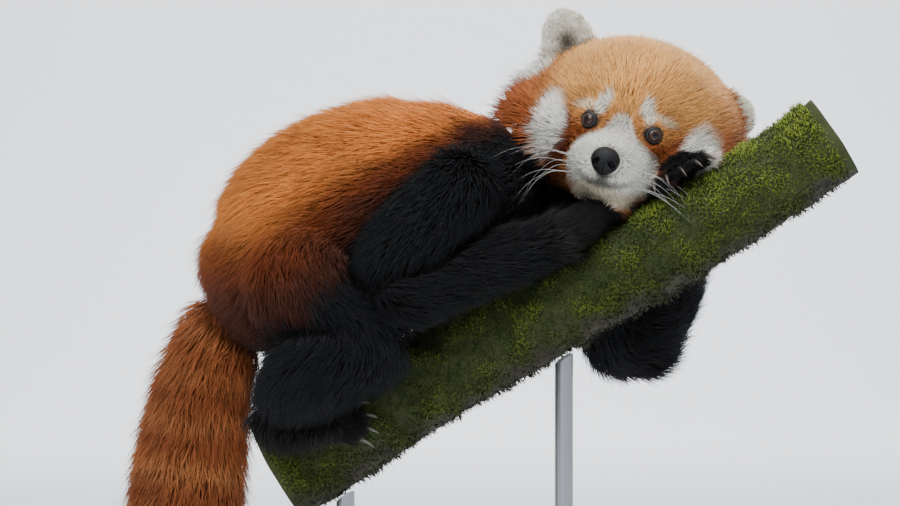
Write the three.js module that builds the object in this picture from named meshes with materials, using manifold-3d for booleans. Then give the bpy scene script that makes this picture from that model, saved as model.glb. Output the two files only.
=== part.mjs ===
// Red panda lying on a short cut length of branch, life size, on a plain display stand.
// Millimetres, +Z up. +X runs up the branch, from the tail to the head, and -Y is the side the face looks to.
// The origin is the middle of the base plate's underside.
import * as THREE from "three";
import { LoftGeometry } from "three/addons/geometries/LoftGeometry.js";
import { mergeVertices } from "three/addons/utils/BufferGeometryUtils.js";
import Module from "manifold-3d";

const wasm = await Module();
wasm.setup();

// Driving dimensions
const GAP = 0.3; // between pieces that touch
const COAT = 6; // how far the tips of the locks stand out over the core of the coat
const HEAD_HALF_WIDTH = 78; // cheek to middle, with its fur
const HEAD_CENTRE = new THREE.Vector3(121.2, 45, 571.5);
const HEAD_ROLL = THREE.MathUtils.degToRad(14.4); // the head leans up the branch
const HEAD_YAW = THREE.MathUtils.degToRad(-10.5); // and turns a little back towards the body
const EYE_RADIUS = 7.5;
const EYE_SPREAD = 20.5; // from the middle of the face to each eye
const CLAW_LENGTH = 13;
const BRANCH_RADIUS = 31;
const BASE_LENGTH = 400;
const BASE_DEPTH = 240;
const BASE_THICK = 18;
const BASE_CORNER = 22;
const ROD_RADIUS = 6;
const ROD_PLACES = [-68, 74]; // where along X the two rods stand
const ROD_DEPTH = 0; // their place in Y, under the branch

const v3 = (x, y, z) => new THREE.Vector3(x, y, z);
const turn = THREE.MathUtils.degToRad;

// A seeded draw from 0 to 1, so that every build gives the same locks.
function seeded(seed) {
  let state = seed;
  return () => {
    state = (state * 1664525 + 1013904223) % 4294967296;
    return state / 4294967296;
  };
}

// A solid from a closed geometry: shared vertices merged, empty triangles dropped, faces turned outwards.
function solidFrom(geometry) {
  const plain = new THREE.BufferGeometry().copy(geometry);
  plain.deleteAttribute("normal");
  plain.deleteAttribute("uv");
  const merged = mergeVertices(plain, 1e-3);
  const index = merged.index.array;
  const kept = [];
  for (let i = 0; i < index.length; i += 3) {
    const [a, b, c] = [index[i], index[i + 1], index[i + 2]];
    if (a !== b && b !== c && c !== a) kept.push(a, b, c);
  }
  const vertProperties = new Float32Array(merged.attributes.position.array);
  const make = (triVerts) =>
    new wasm.Manifold(new wasm.Mesh({ numProp: 3, vertProperties, triVerts: new Uint32Array(triVerts) }));
  const solid = make(kept);
  if (solid.volume() > 0) return solid;
  return make(kept.reverse());
}

// A solid through a row of rings, each end closed by a fan round its middle.
function loftSolid(rings) {
  const point = (ring) => {
    const middle = ring.reduce((sum, p) => sum.add(p), v3(0, 0, 0)).divideScalar(ring.length);
    return ring.map(() => middle);
  };
  return solidFrom(new LoftGeometry([point(rings[0]), ...rings, point(rings.at(-1))]));
}

function joined(solids) {
  return solids.reduce((whole, next) => whole.add(next));
}

// The largest closed surface of a solid.
function largest(solid) {
  const pieces = solid.decompose();
  return pieces.reduce((best, piece) => (piece.volume() > best.volume() ? piece : best));
}

// Joins and cuts leave slivers behind. A vertex moves onto a neighbour wherever that keeps the surface
// closed and leaves every face round it within FLAT mm of where it was, and a face too thin for that
// gives its long edge up to the face beyond.
const FLAT = 0.06;
const THIN = 0.02; // mm, the least height of a face that is kept
function withoutSlivers({ vertProperties, triVerts }) {
  const count = vertProperties.length / 3;
  const points = Array.from({ length: count }, (_, i) => v3(0, 0, 0).fromArray(vertProperties, 3 * i));
  const faces = Array.from({ length: triVerts.length / 3 }, (_, i) => [...triVerts.subarray(3 * i, 3 * i + 3)]);
  const around = points.map(() => new Set());
  const spent = points.map(() => 0);
  faces.forEach((face, f) => face.forEach((v) => around[v].add(f)));
  const neighbours = (v) => new Set([...around[v]].flatMap((f) => faces[f]).filter((w) => w !== v));
  const normal = ([a, b, c]) => points[b].clone().sub(points[a]).cross(points[c].clone().sub(points[a]));
  const edge = (face, i) => points[face[i]].distanceTo(points[face[(i + 1) % 3]]);
  const height = (face) => normal(face).length() / Math.max(edge(face, 0), edge(face, 1), edge(face, 2), 1e-9);

  // How far the faces round v would shift if it moved onto w, or Infinity if it must not.
  function shift(v, w) {
    const others = neighbours(w);
    if ([...neighbours(v)].filter((u) => others.has(u)).length !== 2) return Infinity;
    const step = points[w].clone().sub(points[v]);
    let most = 0;
    for (const f of around[v]) {
      const old = normal(faces[f]);
      const tall = height(faces[f]);
      if (tall > THIN) most = Math.max(most, Math.abs(old.dot(step)) / old.length());
      if (faces[f].includes(w)) continue;
      const moved = faces[f].map((u) => (u === v ? w : u));
      const next = normal(moved);
      if (height(moved) < Math.min(tall * 0.9, 0.05)) return Infinity;
      if (tall > THIN && next.dot(old) < 0.85 * next.length() * old.length()) return Infinity;
    }
    return most;
  }

  function moveOnto(v, w) {
    spent[w] = Math.max(spent[w], shift(v, w) + spent[v]);
    for (const f of around[v]) {
      if (faces[f].includes(w)) {
        faces[f].forEach((u) => u !== v && around[u].delete(f));
        faces[f] = null;
      } else {
        around[w].add(f);
        faces[f] = faces[f].map((u) => (u === v ? w : u));
      }
    }
    around[v].clear();
  }

  // Gives the long edge a-b of face f up to the face beyond it, whose far corner is d.
  function flip(f) {
    const face = faces[f];
    const long = [0, 1, 2].reduce((best, i) => (edge(face, i) > edge(face, best) ? i : best), 0);
    const [a, b, c] = [face[long], face[(long + 1) % 3], face[(long + 2) % 3]];
    const g = [...around[a]].find((h) => h !== f && around[b].has(h));
    const d = faces[g].find((u) => u !== a && u !== b);
    const wide = normal(faces[g]);
    const made = [[a, d, c], [d, b, c]];
    if (neighbours(c).has(d)) return false;
    if (made.some((next) => height(next) < THIN || normal(next).dot(wide) <= 0)) return false;
    around[a].delete(g);
    around[b].delete(f);
    around[c].add(g);
    around[d].add(f);
    [faces[f], faces[g]] = made;
    return true;
  }

  for (let changed = true; changed; ) {
    changed = false;
    for (let v = 0; v < count; v += 1) {
      const far = (u) => points[v].distanceTo(points[u]);
      const w = [...neighbours(v)].sort((p, q) => far(p) - far(q)).find((u) => shift(v, u) + spent[v] < FLAT);
      if (w === undefined) continue;
      moveOnto(v, w);
      changed = true;
    }
    faces.forEach((face, f) => {
      if (face && height(face) < THIN && flip(f)) changed = true;
    });
  }
  const geometry = new THREE.BufferGeometry()
    .setAttribute("position", new THREE.BufferAttribute(vertProperties, 3))
    .setIndex(faces.filter(Boolean).flat());
  return solidFrom(geometry);
}

function geometryOf(solid) {
  const { vertProperties, triVerts } = solid.getMesh();
  return new THREE.BufferGeometry()
    .setAttribute("position", new THREE.BufferAttribute(vertProperties, 3))
    .setIndex(new THREE.BufferAttribute(triVerts, 1));
}

// A form is a body, limb or tail: an oval section carried along a smooth line through its stations.
// A station is [x, y, z, half-width, half-height]. Half-height points along `up`, half-width across it.
class Form {
  constructor(stations, { up = v3(0, 0, 1), sides = 20, steps = 12, inset = 0, domes = [70, 35] } = {}) {
    this.line = new THREE.CatmullRomCurve3(stations.map(([x, y, z]) => v3(x, y, z)));
    this.sizes = new THREE.CatmullRomCurve3(
      stations.map(([, , , wide, high]) => v3(wide - inset, high - inset, 0)),
    );
    this.up = up;
    this.sides = sides;
    this.steps = steps;
    this.domes = domes.map(turn);
  }

  // The section at t, from 0 at the root to 1 at the end.
  section(t) {
    const inside = THREE.MathUtils.clamp(t, 0, 1);
    const along = this.line.getTangent(inside);
    const across = v3(0, 0, 0).crossVectors(along, this.up).normalize();
    const above = v3(0, 0, 0).crossVectors(across, along).normalize();
    const centre = this.line.getPoint(inside);
    const size = this.sizes.getPoint(inside);
    return { centre, along, across, above, wide: size.x, high: size.y };
  }

  // A point of the surface, `angle` round from the across direction towards above, and `lift` outside it.
  surface(t, angle, lift = 0) {
    const s = this.section(t);
    return s.centre
      .clone()
      .addScaledVector(s.across, Math.cos(angle) * (s.wide + lift))
      .addScaledVector(s.above, Math.sin(angle) * (s.high + lift));
  }

  ring(t, shrink, push, grow) {
    const s = this.section(t);
    const centre = s.centre.clone().addScaledVector(s.along, push);
    return Array.from({ length: this.sides }, (_, i) => {
      const angle = (i / this.sides) * Math.PI * 2;
      return centre
        .clone()
        .addScaledVector(s.across, Math.cos(angle) * (s.wide + grow) * shrink)
        .addScaledVector(s.above, Math.sin(angle) * (s.high + grow) * shrink);
    });
  }

  // Both ends are domes as deep as `roundness` times the smaller half-size.
  solid(grow = 0, roundness = 0.8) {
    const depthAt = (t) => Math.min(this.section(t).wide, this.section(t).high) * roundness + grow;
    const rings = [
      ...this.domes.map((a) => this.ring(0, Math.cos(a), -depthAt(0) * Math.sin(a), grow)),
      ...Array.from({ length: this.steps + 1 }, (_, i) => this.ring(i / this.steps, 1, 0, grow)),
      ...this.domes.toReversed().map((a) => this.ring(1, Math.cos(a), depthAt(1) * Math.sin(a), grow)),
    ];
    return loftSolid(rings);
  }
}

// A lock of the coat: flat, widest near its middle, tapering to a point.
// place(s, lift) gives the point at s along its middle line, `lift` mm over the core.
const LOCK_STATIONS = [0, 0.45, 1];
const LOCK_WIDTHS = [0.85, 1, 0];
function lock(place, { width, thick, sink, rise, length }, grow) {
  const spread = grow * 1.2;
  const flatness = Math.hypot(width, thick);
  const rings = LOCK_STATIONS.map((s, i) => {
    const reach = s + (spread / length) * (s === 0 ? -1 : s === 1 ? 1 : 0);
    const half = (width / 2) * LOCK_WIDTHS[i] + (spread * flatness) / thick;
    const deep = (thick / 2) * (LOCK_WIDTHS[i] > 0 ? 1 - 0.5 * s : 0) + (spread * flatness) / width;
    const lift = -sink + (rise + sink) * Math.pow(s, 0.8);
    const middle = place(reach, lift);
    const along = place(reach + 0.05, lift).sub(place(reach - 0.05, lift)).normalize();
    const across = v3(0, 0, 0).crossVectors(along, place(reach, lift + 1).sub(middle)).normalize();
    const over = v3(0, 0, 0).crossVectors(across, along);
    return [
      middle.clone().addScaledVector(across, half),
      middle.clone().addScaledVector(over, deep),
      middle.clone().addScaledVector(across, -half),
      middle.clone().addScaledVector(over, -deep),
    ];
  });
  return loftSolid(rings);
}

// Locks in rings along a form, each row set over half a lock, leaving out those that `skip` names.
function coatLocks(form, coat, grow) {
  const { rows, around, from, to, first = 0, last = 360, lock: size, seed, curl = 0, skip = () => false } = coat;
  const draw = seeded(seed);
  const span = form.line.getLength();
  const locks = [];
  for (let row = 0; row < rows; row += 1) {
    const t0 = from + ((to - from) * row) / Math.max(rows - 1, 1);
    for (let i = 0; i < around; i += 1) {
      const angle = turn(first + ((i + (row % 2) / 2 + (draw() - 0.5) * 0.3) / around) * (last - first));
      const length = size.length * (0.85 + 0.3 * draw());
      const width = size.width * (0.88 + 0.24 * draw());
      const bend = curl * (draw() - 0.5);
      const rise = size.rise * (0.8 + 0.3 * draw());
      const place = (s, lift) => {
        const t = t0 + (length * s) / span;
        const section = form.section(t);
        const radius = Math.max((section.wide + section.high) / 2, width);
        const over = Math.max(t - 1, 0) * span;
        return form.surface(t, angle + (bend * s * s) / radius, lift).addScaledVector(section.along, over);
      };
      if (skip(place(0.15, 0), place(0.8, rise))) continue;
      locks.push(lock(place, { ...size, width, length, rise }, grow));
    }
  }
  return locks;
}

// Branch
const BRANCH_AXIS = new THREE.CatmullRomCurve3([
  v3(-112, 3, 346),
  v3(-60, 0, 376),
  v3(20, -2, 423),
  v3(95, 0, 467),
  v3(165, 1, 506),
  v3(250, 0, 562),
]);
const BRANCH_STEPS = 16;
const BRANCH_SIDES = 16;
function branchRadius(t, angle) {
  const flare = 7 * Math.pow(1 - t, 3); // thicker towards the trunk
  const bark = 0.9 * Math.sin(3 * angle + 9 * t) + 0.6 * Math.sin(5 * angle - 23 * t);
  return BRANCH_RADIUS + flare + bark;
}
function branch(grow = 0) {
  const rings = Array.from({ length: BRANCH_STEPS + 1 }, (_, i) => {
    const t = i / BRANCH_STEPS;
    const along = BRANCH_AXIS.getTangent(t);
    const across = v3(0, 0, 0).crossVectors(along, v3(0, 0, 1)).normalize();
    const above = v3(0, 0, 0).crossVectors(across, along);
    const push = i === 0 ? -grow : i === BRANCH_STEPS ? grow : 0;
    const centre = BRANCH_AXIS.getPoint(t).addScaledVector(along, push);
    return Array.from({ length: BRANCH_SIDES }, (__, j) => {
      const angle = (j / BRANCH_SIDES) * Math.PI * 2;
      const radius = branchRadius(t, angle) + grow;
      return centre
        .clone()
        .addScaledVector(across, Math.cos(angle) * radius)
        .addScaledVector(above, Math.sin(angle) * radius);
    });
  });
  return loftSolid(rings);
}

// Display stand
function standBase() {
  const [w, d] = [BASE_LENGTH / 2, BASE_DEPTH / 2];
  const bevel = 1.5;
  const outline = new THREE.Shape();
  const [x, y, r] = [w - bevel, d - bevel, BASE_CORNER - bevel];
  outline.moveTo(-x + r, -y);
  outline.lineTo(x - r, -y);
  outline.absarc(x - r, -y + r, r, -Math.PI / 2, 0);
  outline.absarc(x - r, y - r, r, 0, Math.PI / 2);
  outline.absarc(-x + r, y - r, r, Math.PI / 2, Math.PI);
  outline.absarc(-x + r, -y + r, r, Math.PI, Math.PI * 1.5);
  const plate = new THREE.ExtrudeGeometry(outline, {
    depth: BASE_THICK - 2 * bevel,
    bevelSize: bevel,
    bevelThickness: bevel,
    bevelSegments: 1,
    curveSegments: 5,
  });
  return solidFrom(plate.translate(0, 0, bevel));
}

function standRod(x, grow = 0) {
  const rodTop = 470; // above the branch's underside everywhere; the branch cuts it to length
  const height = rodTop - BASE_THICK - GAP + grow;
  const rod = new THREE.CylinderGeometry(ROD_RADIUS + grow, ROD_RADIUS + grow, height, 16);
  rod.rotateX(Math.PI / 2).translate(x, ROD_DEPTH, BASE_THICK + GAP + height / 2);
  return solidFrom(rod);
}

// Head: its frame has x to the animal's left, y to the back of the skull and z up.
const HEAD_TURN = new THREE.Matrix4()
  .makeRotationY(HEAD_ROLL)
  .multiply(new THREE.Matrix4().makeRotationZ(HEAD_YAW));
const headPoint = (x, y, z) => v3(x, y, z).applyMatrix4(HEAD_TURN).add(HEAD_CENTRE);

// Rounded masses that blend into one head: [centre, half-sizes].
const HEAD_MASSES = [
  [v3(0, 8, 2), v3(70, 60, 57)], // skull
  [v3(0, -18, 22), v3(46, 38, 34)], // forehead
  [v3(-44, -6, -16), v3(31, 38, 32)], // cheeks
  [v3(44, -6, -16), v3(31, 38, 32)],
  [v3(0, -52, -31), v3(27, 28, 20)], // muzzle
  [v3(0, -42, -45), v3(25, 26, 14)], // chin
  [v3(0, -8, -34), v3(44, 40, 24)], // jaws and throat
];
const HEAD_BLEND = 9; // how softly the masses run into each other
const EYE_DEPTH = -44;
const EYE_HEIGHT = -5;
const MUZZLE_TIP = v3(0, -81, -30); // middle of the nose pad

// Rough distance from p to an ellipsoid, below 0 inside it.
function massDistance(p, [centre, half]) {
  const q = p.clone().sub(centre).divide(half);
  return (q.length() - 1) * Math.min(half.x, half.y, half.z);
}

function headField(p) {
  const sum = HEAD_MASSES.reduce((s, mass) => s + Math.exp(-massDistance(p, mass) / (HEAD_BLEND / 3)), 0);
  return (-HEAD_BLEND / 3) * Math.log(sum);
}

// How far the head's surface lies from its centre in a direction, by halving.
function headReach(direction) {
  let [low, high] = [10, 140];
  for (let i = 0; i < 18; i += 1) {
    const middle = (low + high) / 2;
    if (headField(direction.clone().multiplyScalar(middle)) < 0) low = middle;
    else high = middle;
  }
  return low;
}

const HEAD_DETAIL = 7;
function headCore(grow) {
  const geometry = new THREE.IcosahedronGeometry(1, HEAD_DETAIL);
  const position = geometry.getAttribute("position");
  for (let i = 0; i < position.count; i += 1) {
    const direction = v3(0, 0, 0).fromBufferAttribute(position, i).normalize();
    const p = direction.multiplyScalar(headReach(direction) + grow);
    position.setXYZ(i, ...headPoint(p.x, p.y, p.z).toArray());
  }
  return solidFrom(geometry);
}

// A point over the head's surface in a direction of the head's frame.
const onHead = (direction, lift) => {
  const d = direction.clone().normalize();
  const p = d.clone().multiplyScalar(headReach(d) + lift);
  return headPoint(p.x, p.y, p.z);
};

// A lock from one direction of the head to another.
function headLock(from, to, size, grow) {
  const place = (s, lift) => onHead(from.clone().lerp(to, s), lift);
  return lock(place, { ...size, length: from.angleTo(to) * HEAD_HALF_WIDTH }, grow);
}

// The ruff: rows of locks that sweep back and down over each cheek.
const RUFF_LOCK = { width: 21, thick: 4.5, sink: 6, rise: 13 };
const RUFF_ROWS = [
  { azimuth: 54, count: 4 },
  { azimuth: 76, count: 4 },
  { azimuth: 98, count: 4 },
];
const RUFF_SPAN = [-46, 16]; // degrees under and over the head's middle
function ruff(side, grow) {
  const draw = seeded(side > 0 ? 11 : 23);
  const locks = [];
  RUFF_ROWS.forEach(({ azimuth, count }, row) => {
    for (let i = 0; i < count; i += 1) {
      const height = RUFF_SPAN[0] + ((RUFF_SPAN[1] - RUFF_SPAN[0]) * (i + (row % 2) / 2)) / count;
      const aim = (a, e) =>
        v3(side * Math.sin(turn(a)) * Math.cos(turn(e)), -Math.cos(turn(a)) * Math.cos(turn(e)), Math.sin(turn(e)));
      const sweep = 26 + 6 * draw();
      locks.push(headLock(aim(azimuth, height), aim(azimuth + sweep, height * 1.15 - 6), RUFF_LOCK, grow));
    }
  });
  return locks;
}

const LID_RADIUS = 5.8;
const LID_THICK = 1.7;
function lid(side, grow) {
  const ring = new THREE.TorusGeometry(LID_RADIUS, LID_THICK + grow, 5, 12);
  ring.rotateX(Math.PI / 2).rotateZ(side * turn(22));
  const eye = eyeCentre(side);
  const forward = v3(side * Math.sin(turn(22)), -Math.cos(turn(22)), 0);
  eye.addScaledVector(forward, EYE_RADIUS * 0.62);
  ring.translate(eye.x, eye.y, eye.z).applyMatrix4(HEAD_TURN);
  ring.translate(HEAD_CENTRE.x, HEAD_CENTRE.y, HEAD_CENTRE.z);
  return solidFrom(ring);
}

const eyeCentre = (side) => v3(side * EYE_SPREAD, EYE_DEPTH, EYE_HEIGHT);
function eye(side, grow = 0) {
  const ball = new THREE.SphereGeometry(EYE_RADIUS + grow, 12, 8);
  const centre = headPoint(...eyeCentre(side).toArray());
  return solidFrom(ball.translate(centre.x, centre.y, centre.z));
}

function head(grow = 0) {
  const sockets = [-1, 1].map((side) => lid(side, grow));
  let whole = joined([headCore(grow), ...sockets, ...ruff(1, grow), ...ruff(-1, grow)]);
  if (grow === 0) whole = whole.subtract(mouthLine());
  return whole;
}

// The mouth: a thin groove round the muzzle, rising to both corners, with the split up to the nose.
const MOUTH_CORNER = 22; // across, from the middle
function mouthLine() {
  const groove = 0.9;
  const lips = [-1, -0.8, -0.6, -0.4, -0.2, 0, 0.2, 0.4, 0.6, 0.8, 1].map((s) => {
    const x = s * MOUTH_CORNER;
    return onHead(v3(x, -78 + Math.abs(x), -47 + 9 * s * s), 0.2);
  });
  const split = [-46, -42, -38].map((z) => onHead(v3(0, -78, z), 0.2));
  return joined([lips, split].map((points) => tube(points, groove)));
}

function tube(points, radius, sides = 6) {
  const shape = new THREE.Shape();
  for (let i = 0; i < sides; i += 1) {
    const angle = (i / sides) * Math.PI * 2;
    shape[i ? "lineTo" : "moveTo"](Math.cos(angle) * radius, Math.sin(angle) * radius);
  }
  const path = new THREE.CatmullRomCurve3(points);
  return solidFrom(new THREE.ExtrudeGeometry(shape, { steps: points.length * 2, extrudePath: path }));
}

// The nose pad, broad above and narrow below, with a nostril on each side.
const NOSE_HALF = v3(9.8, 8, 9.3);
const NOSTRIL_HALF = v3(2.2, 5, 2.7);
function nose(grow = 0) {
  const pad = new THREE.SphereGeometry(1, 14, 9);
  const position = pad.getAttribute("position");
  for (let i = 0; i < position.count; i += 1) {
    const p = v3(0, 0, 0).fromBufferAttribute(position, i);
    const narrow = 0.8 + 0.2 * Math.min(1, (p.z + 1) / 1.2);
    position.setXYZ(i, p.x * (NOSE_HALF.x + grow) * narrow, p.y * (NOSE_HALF.y + grow), p.z * (NOSE_HALF.z + grow));
  }
  const place = (geometry) => {
    geometry.translate(MUZZLE_TIP.x, MUZZLE_TIP.y, MUZZLE_TIP.z).applyMatrix4(HEAD_TURN);
    return solidFrom(geometry.translate(HEAD_CENTRE.x, HEAD_CENTRE.y, HEAD_CENTRE.z));
  };
  const whole = place(pad);
  if (grow > 0) return whole;
  const nostrils = [-1, 1].map((side) => {
    const hole = new THREE.SphereGeometry(1, 8, 6).scale(NOSTRIL_HALF.x, NOSTRIL_HALF.y, NOSTRIL_HALF.z);
    return place(hole.rotateY(side * turn(25)).translate(side * 5.4, -NOSE_HALF.y, -1.6));
  });
  return nostrils.reduce((rest, hole) => rest.subtract(hole), whole);
}

// An ear: an upright oval cup that opens forwards, with a fringe of long locks down its outer edge.
const EAR_HALF = v3(19, 9, 27);
const EAR_LOCKS = 5;
const EARS = {
  ear_right: { at: v3(-57, 6, 43), lean: -30, back: 0, face: 8, side: -1 },
  ear_left: { at: v3(57, 2, 20), lean: 52, back: 40, face: -10, side: 1 }, // pressed out and back by the branch
};
function ear({ at, lean, back, face, side }, grow = 0) {
  const frame = new THREE.Matrix4()
    .makeTranslation(HEAD_CENTRE)
    .multiply(HEAD_TURN)
    .multiply(new THREE.Matrix4().makeTranslation(at))
    .multiply(new THREE.Matrix4().makeRotationY(turn(lean)))
    .multiply(new THREE.Matrix4().makeRotationX(turn(-back)))
    .multiply(new THREE.Matrix4().makeRotationZ(turn(face)));
  const onEar = (p) => p.clone().applyMatrix4(frame);
  const set = (geometry) => solidFrom(geometry.applyMatrix4(frame));
  const shell = new THREE.SphereGeometry(1, 14, 9).rotateX(Math.PI / 2);
  const outer = set(shell.scale(EAR_HALF.x + grow, EAR_HALF.y + grow, EAR_HALF.z + grow));
  const cup = new THREE.SphereGeometry(1, 12, 8).rotateX(Math.PI / 2);
  const hollow = set(cup.scale(EAR_HALF.x * 0.66, EAR_HALF.y, EAR_HALF.z * 0.62).translate(0, -EAR_HALF.y * 0.75, 2));
  const fringe = Array.from({ length: EAR_LOCKS }, (_, i) => {
    const along = -17 + i * 6;
    const root = v3(side * EAR_HALF.x * 0.8, 2, along - 6);
    const rings = [0, 0.4, 0.75, 1].map((s) => {
      const half = 4.2 * (1 - s * s) + grow * 2.5;
      const centre = root.clone().add(v3(side * (17 + grow) * s, 3 * s, -9 * s * s));
      const deep = 1.8 * (1 - s) + grow * 1.2;
      return [v3(0, 0, half), v3(0, deep, 0), v3(0, 0, -half), v3(0, -deep, 0)].map((o) => o.add(centre));
    });
    return loftSolid(rings.map((ring) => ring.map((p) => onEar(p))));
  });
  return joined([grow > 0 ? outer : outer.subtract(hollow), ...fringe]);
}

// Body and limbs
const TORSO = new Form(
  [
    [46, 56, 518, 24, 28],
    [20, 36, 526, 52, 60],
    [-12, 26, 518, 68, 75],
    [-50, 24, 510, 74, 80],
    [-86, 24, 495, 73, 76],
    [-111, 26, 472, 62, 61],
  ],
  { sides: 22, steps: 12, inset: COAT },
);
const NECK = new Form(
  [
    [24, 46, 532, 32, 40],
    [60, 78, 550, 30, 36],
    [96, 92, 564, 34, 36],
  ],
  { sides: 18, steps: 4, inset: 4 },
);

const LIMBS = {
  foreleg_right_upper: [
    [4, -32, 527, 27, 30],
    [0, -42, 521, 29, 32],
    [-28, -58, 494, 27, 30],
    [-40, -60, 480, 24, 26],
  ],
  foreleg_right_lower: [
    [-34, -58, 463, 28, 31],
    [8, -50, 476, 24, 22],
    [56, -36, 491, 19, 17],
  ],
  foreleg_left_upper: [
    [62, 70, 530, 31, 32],
    [94, 68, 482, 30, 32],
    [116, 56, 431, 30, 30],
  ],
  foreleg_left_lower: [
    [124, 54, 428, 28, 28],
    [144, 56, 468, 26, 25],
    [153, 50, 505, 19, 20],
  ],
  hindleg_right_thigh: [
    [-92, -8, 492, 34, 40],
    [-92, -26, 470, 42, 44],
    [-78, -44, 450, 36, 38],
    [-54, -53, 438, 32, 31],
  ],
  hindleg_right_shank: [
    [-54, -54, 432, 32, 31],
    [-82, -56, 415, 33, 36],
    [-100, -52, 397, 26, 30],
    [-106, -50, 386, 18, 20],
  ],
  hindleg_left_thigh: [
    [-92, 56, 492, 34, 40],
    [-90, 72, 468, 40, 42],
    [-78, 82, 448, 34, 36],
    [-64, 84, 438, 28, 30],
  ],
  hindleg_left_shank: [
    [-62, 82, 434, 28, 30],
    [-76, 72, 412, 27, 31],
    [-92, 60, 394, 22, 26],
    [-100, 53, 384, 18, 20],
  ],
};
const LIMB_CORES = Object.fromEntries(
  Object.entries(LIMBS).map(([name, stations]) => [
    name,
    new Form(stations, { up: v3(0.3, -1, 0.2), sides: 12, steps: 4, inset: 2 }),
  ]),
);

// A paw lies along a line of stations, [x, y, z, half-width, half-height], and ends in five toes.
const PAWS = {
  forepaw_right: {
    stations: [
      [62, -34, 494, 18, 14],
      [80, -26, 503, 18, 13],
      [91, -8, 511, 17, 11],
    ],
    up: v3(-0.45, -0.3, 0.84),
  },
  forepaw_left: {
    stations: [
      [152, 40, 517, 17, 16],
      [150, 15, 537, 17, 13],
      [148, -6, 542, 16, 10],
    ],
    up: v3(-0.48, 0, 0.88),
  },
  hindpaw_right: {
    stations: [
      [-113, -46, 378, 17, 16],
      [-94, -50, 378, 18, 15],
      [-74, -49, 383, 17, 12],
    ],
    up: v3(-0.2, -0.75, 0.6),
  },
  hindpaw_left: {
    stations: [
      [-106, 50, 374, 17, 16],
      [-86, 52, 374, 18, 15],
      [-64, 50, 380, 17, 12],
    ],
    up: v3(-0.2, 0.75, 0.6),
  },
};
const TOE_LENGTH = 15;
const TOE_RADIUS = 5.6;
const TOE_FAN = turn(13); // between one toe and the next
for (const paw of Object.values(PAWS)) {
  paw.form = new Form(paw.stations, { up: paw.up, sides: 10, steps: 2, domes: [60, 25] });
  const end = paw.form.section(1);
  paw.toes = [-2, -1, 0, 1, 2].map((step) => {
    const side = end.across.clone().multiplyScalar(step * end.wide * 0.4);
    const ahead = end.along.clone().multiplyScalar(Math.cos(step * TOE_FAN));
    ahead.addScaledVector(end.across, Math.sin(step * TOE_FAN)).addScaledVector(end.above, -0.3).normalize();
    const reach = TOE_LENGTH * (1 - 0.09 * step * step);
    const root = end.centre.clone().add(side).addScaledVector(end.above, -1);
    return { root, ahead, above: end.above, tip: root.clone().addScaledVector(ahead, reach) };
  });
}

function paw({ form, toes }, grow = 0) {
  const fingers = toes.map(({ root, tip, above }) => {
    const back = root.clone().lerp(tip, -0.4);
    const stations = [back, root, tip].map((p) => [p.x, p.y, p.z, TOE_RADIUS, TOE_RADIUS]);
    return new Form(stations, { up: above, sides: 7, steps: 1, domes: [52] }).solid(grow, 1);
  });
  return joined([form.solid(grow, 0.7), ...fingers]);
}

// A claw: a tapering half-drawn hook that curves down from the end of its toe.
function claw({ tip, ahead, above }) {
  const rings = [0, 0.5, 1].map((s) => {
    const bend = s * turn(50);
    const centre = tip
      .clone()
      .addScaledVector(ahead, 2 + (CLAW_LENGTH * Math.sin(bend)) / turn(50))
      .addScaledVector(above, 1.5 - (CLAW_LENGTH * (1 - Math.cos(bend))) / turn(50));
    const along = ahead.clone().multiplyScalar(Math.cos(bend)).addScaledVector(above, -Math.sin(bend)).normalize();
    const across = v3(0, 0, 0).crossVectors(along, above).normalize();
    const over = v3(0, 0, 0).crossVectors(across, along);
    const radius = 2.1 * (1 - 0.82 * s);
    return Array.from({ length: 5 }, (_, i) => {
      const angle = (i / 5) * Math.PI * 2;
      return centre
        .clone()
        .addScaledVector(across, Math.cos(angle) * radius * 0.7)
        .addScaledVector(over, Math.sin(angle) * radius);
    });
  });
  return loftSolid(rings);
}

// Tail, in three lengths, hanging clear of the base.
const TAIL_STATIONS = [
  [-112, 34, 462, 24, 24],
  [-140, 42, 446, 32, 32],
  [-158, 48, 415, 37, 37],
  [-168, 50, 375, 41, 41],
  [-175, 50, 323, 44, 44],
  [-182, 48, 260, 45, 45],
  [-190, 46, 190, 43, 43],
  [-197, 44, 120, 37, 37],
  [-201, 42, 62, 20, 20],
];
const TAIL_COAT = 9;
const TAIL = new Form(TAIL_STATIONS, { up: v3(0, -1, 0), sides: 16, steps: 14, inset: TAIL_COAT });
const TAIL_CUTS = [375, 215]; // heights between the lengths
const TAIL_LOCK = { width: 32, thick: 6, sink: 6, rise: TAIL_COAT, length: 58 };

// A slab of space between two heights, wide enough to hold the tail.
function heightSlab(low, high) {
  const size = 400;
  const slab = new THREE.BoxGeometry(size, size, high - low);
  return solidFrom(slab.translate(TAIL_STATIONS[4][0], TAIL_STATIONS[4][1], (low + high) / 2));
}

// Whether a point lies in or near a form, so that no lock of a neighbour is set there.
function near(form, p, margin) {
  for (let i = 0; i <= 12; i += 1) {
    const s = form.section(i / 12);
    if (p.distanceTo(s.centre) < Math.max(s.wide, s.high) + margin) return true;
  }
  return false;
}
const nearHead = (p, margin) => headField(p.clone().sub(HEAD_CENTRE).applyMatrix4(HEAD_TURN.clone().invert())) < margin;
function nearBranch(p, margin) {
  for (let i = 0; i <= 20; i += 1) if (p.distanceTo(BRANCH_AXIS.getPoint(i / 20)) < 40 + margin) return true;
  return false;
}

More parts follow.
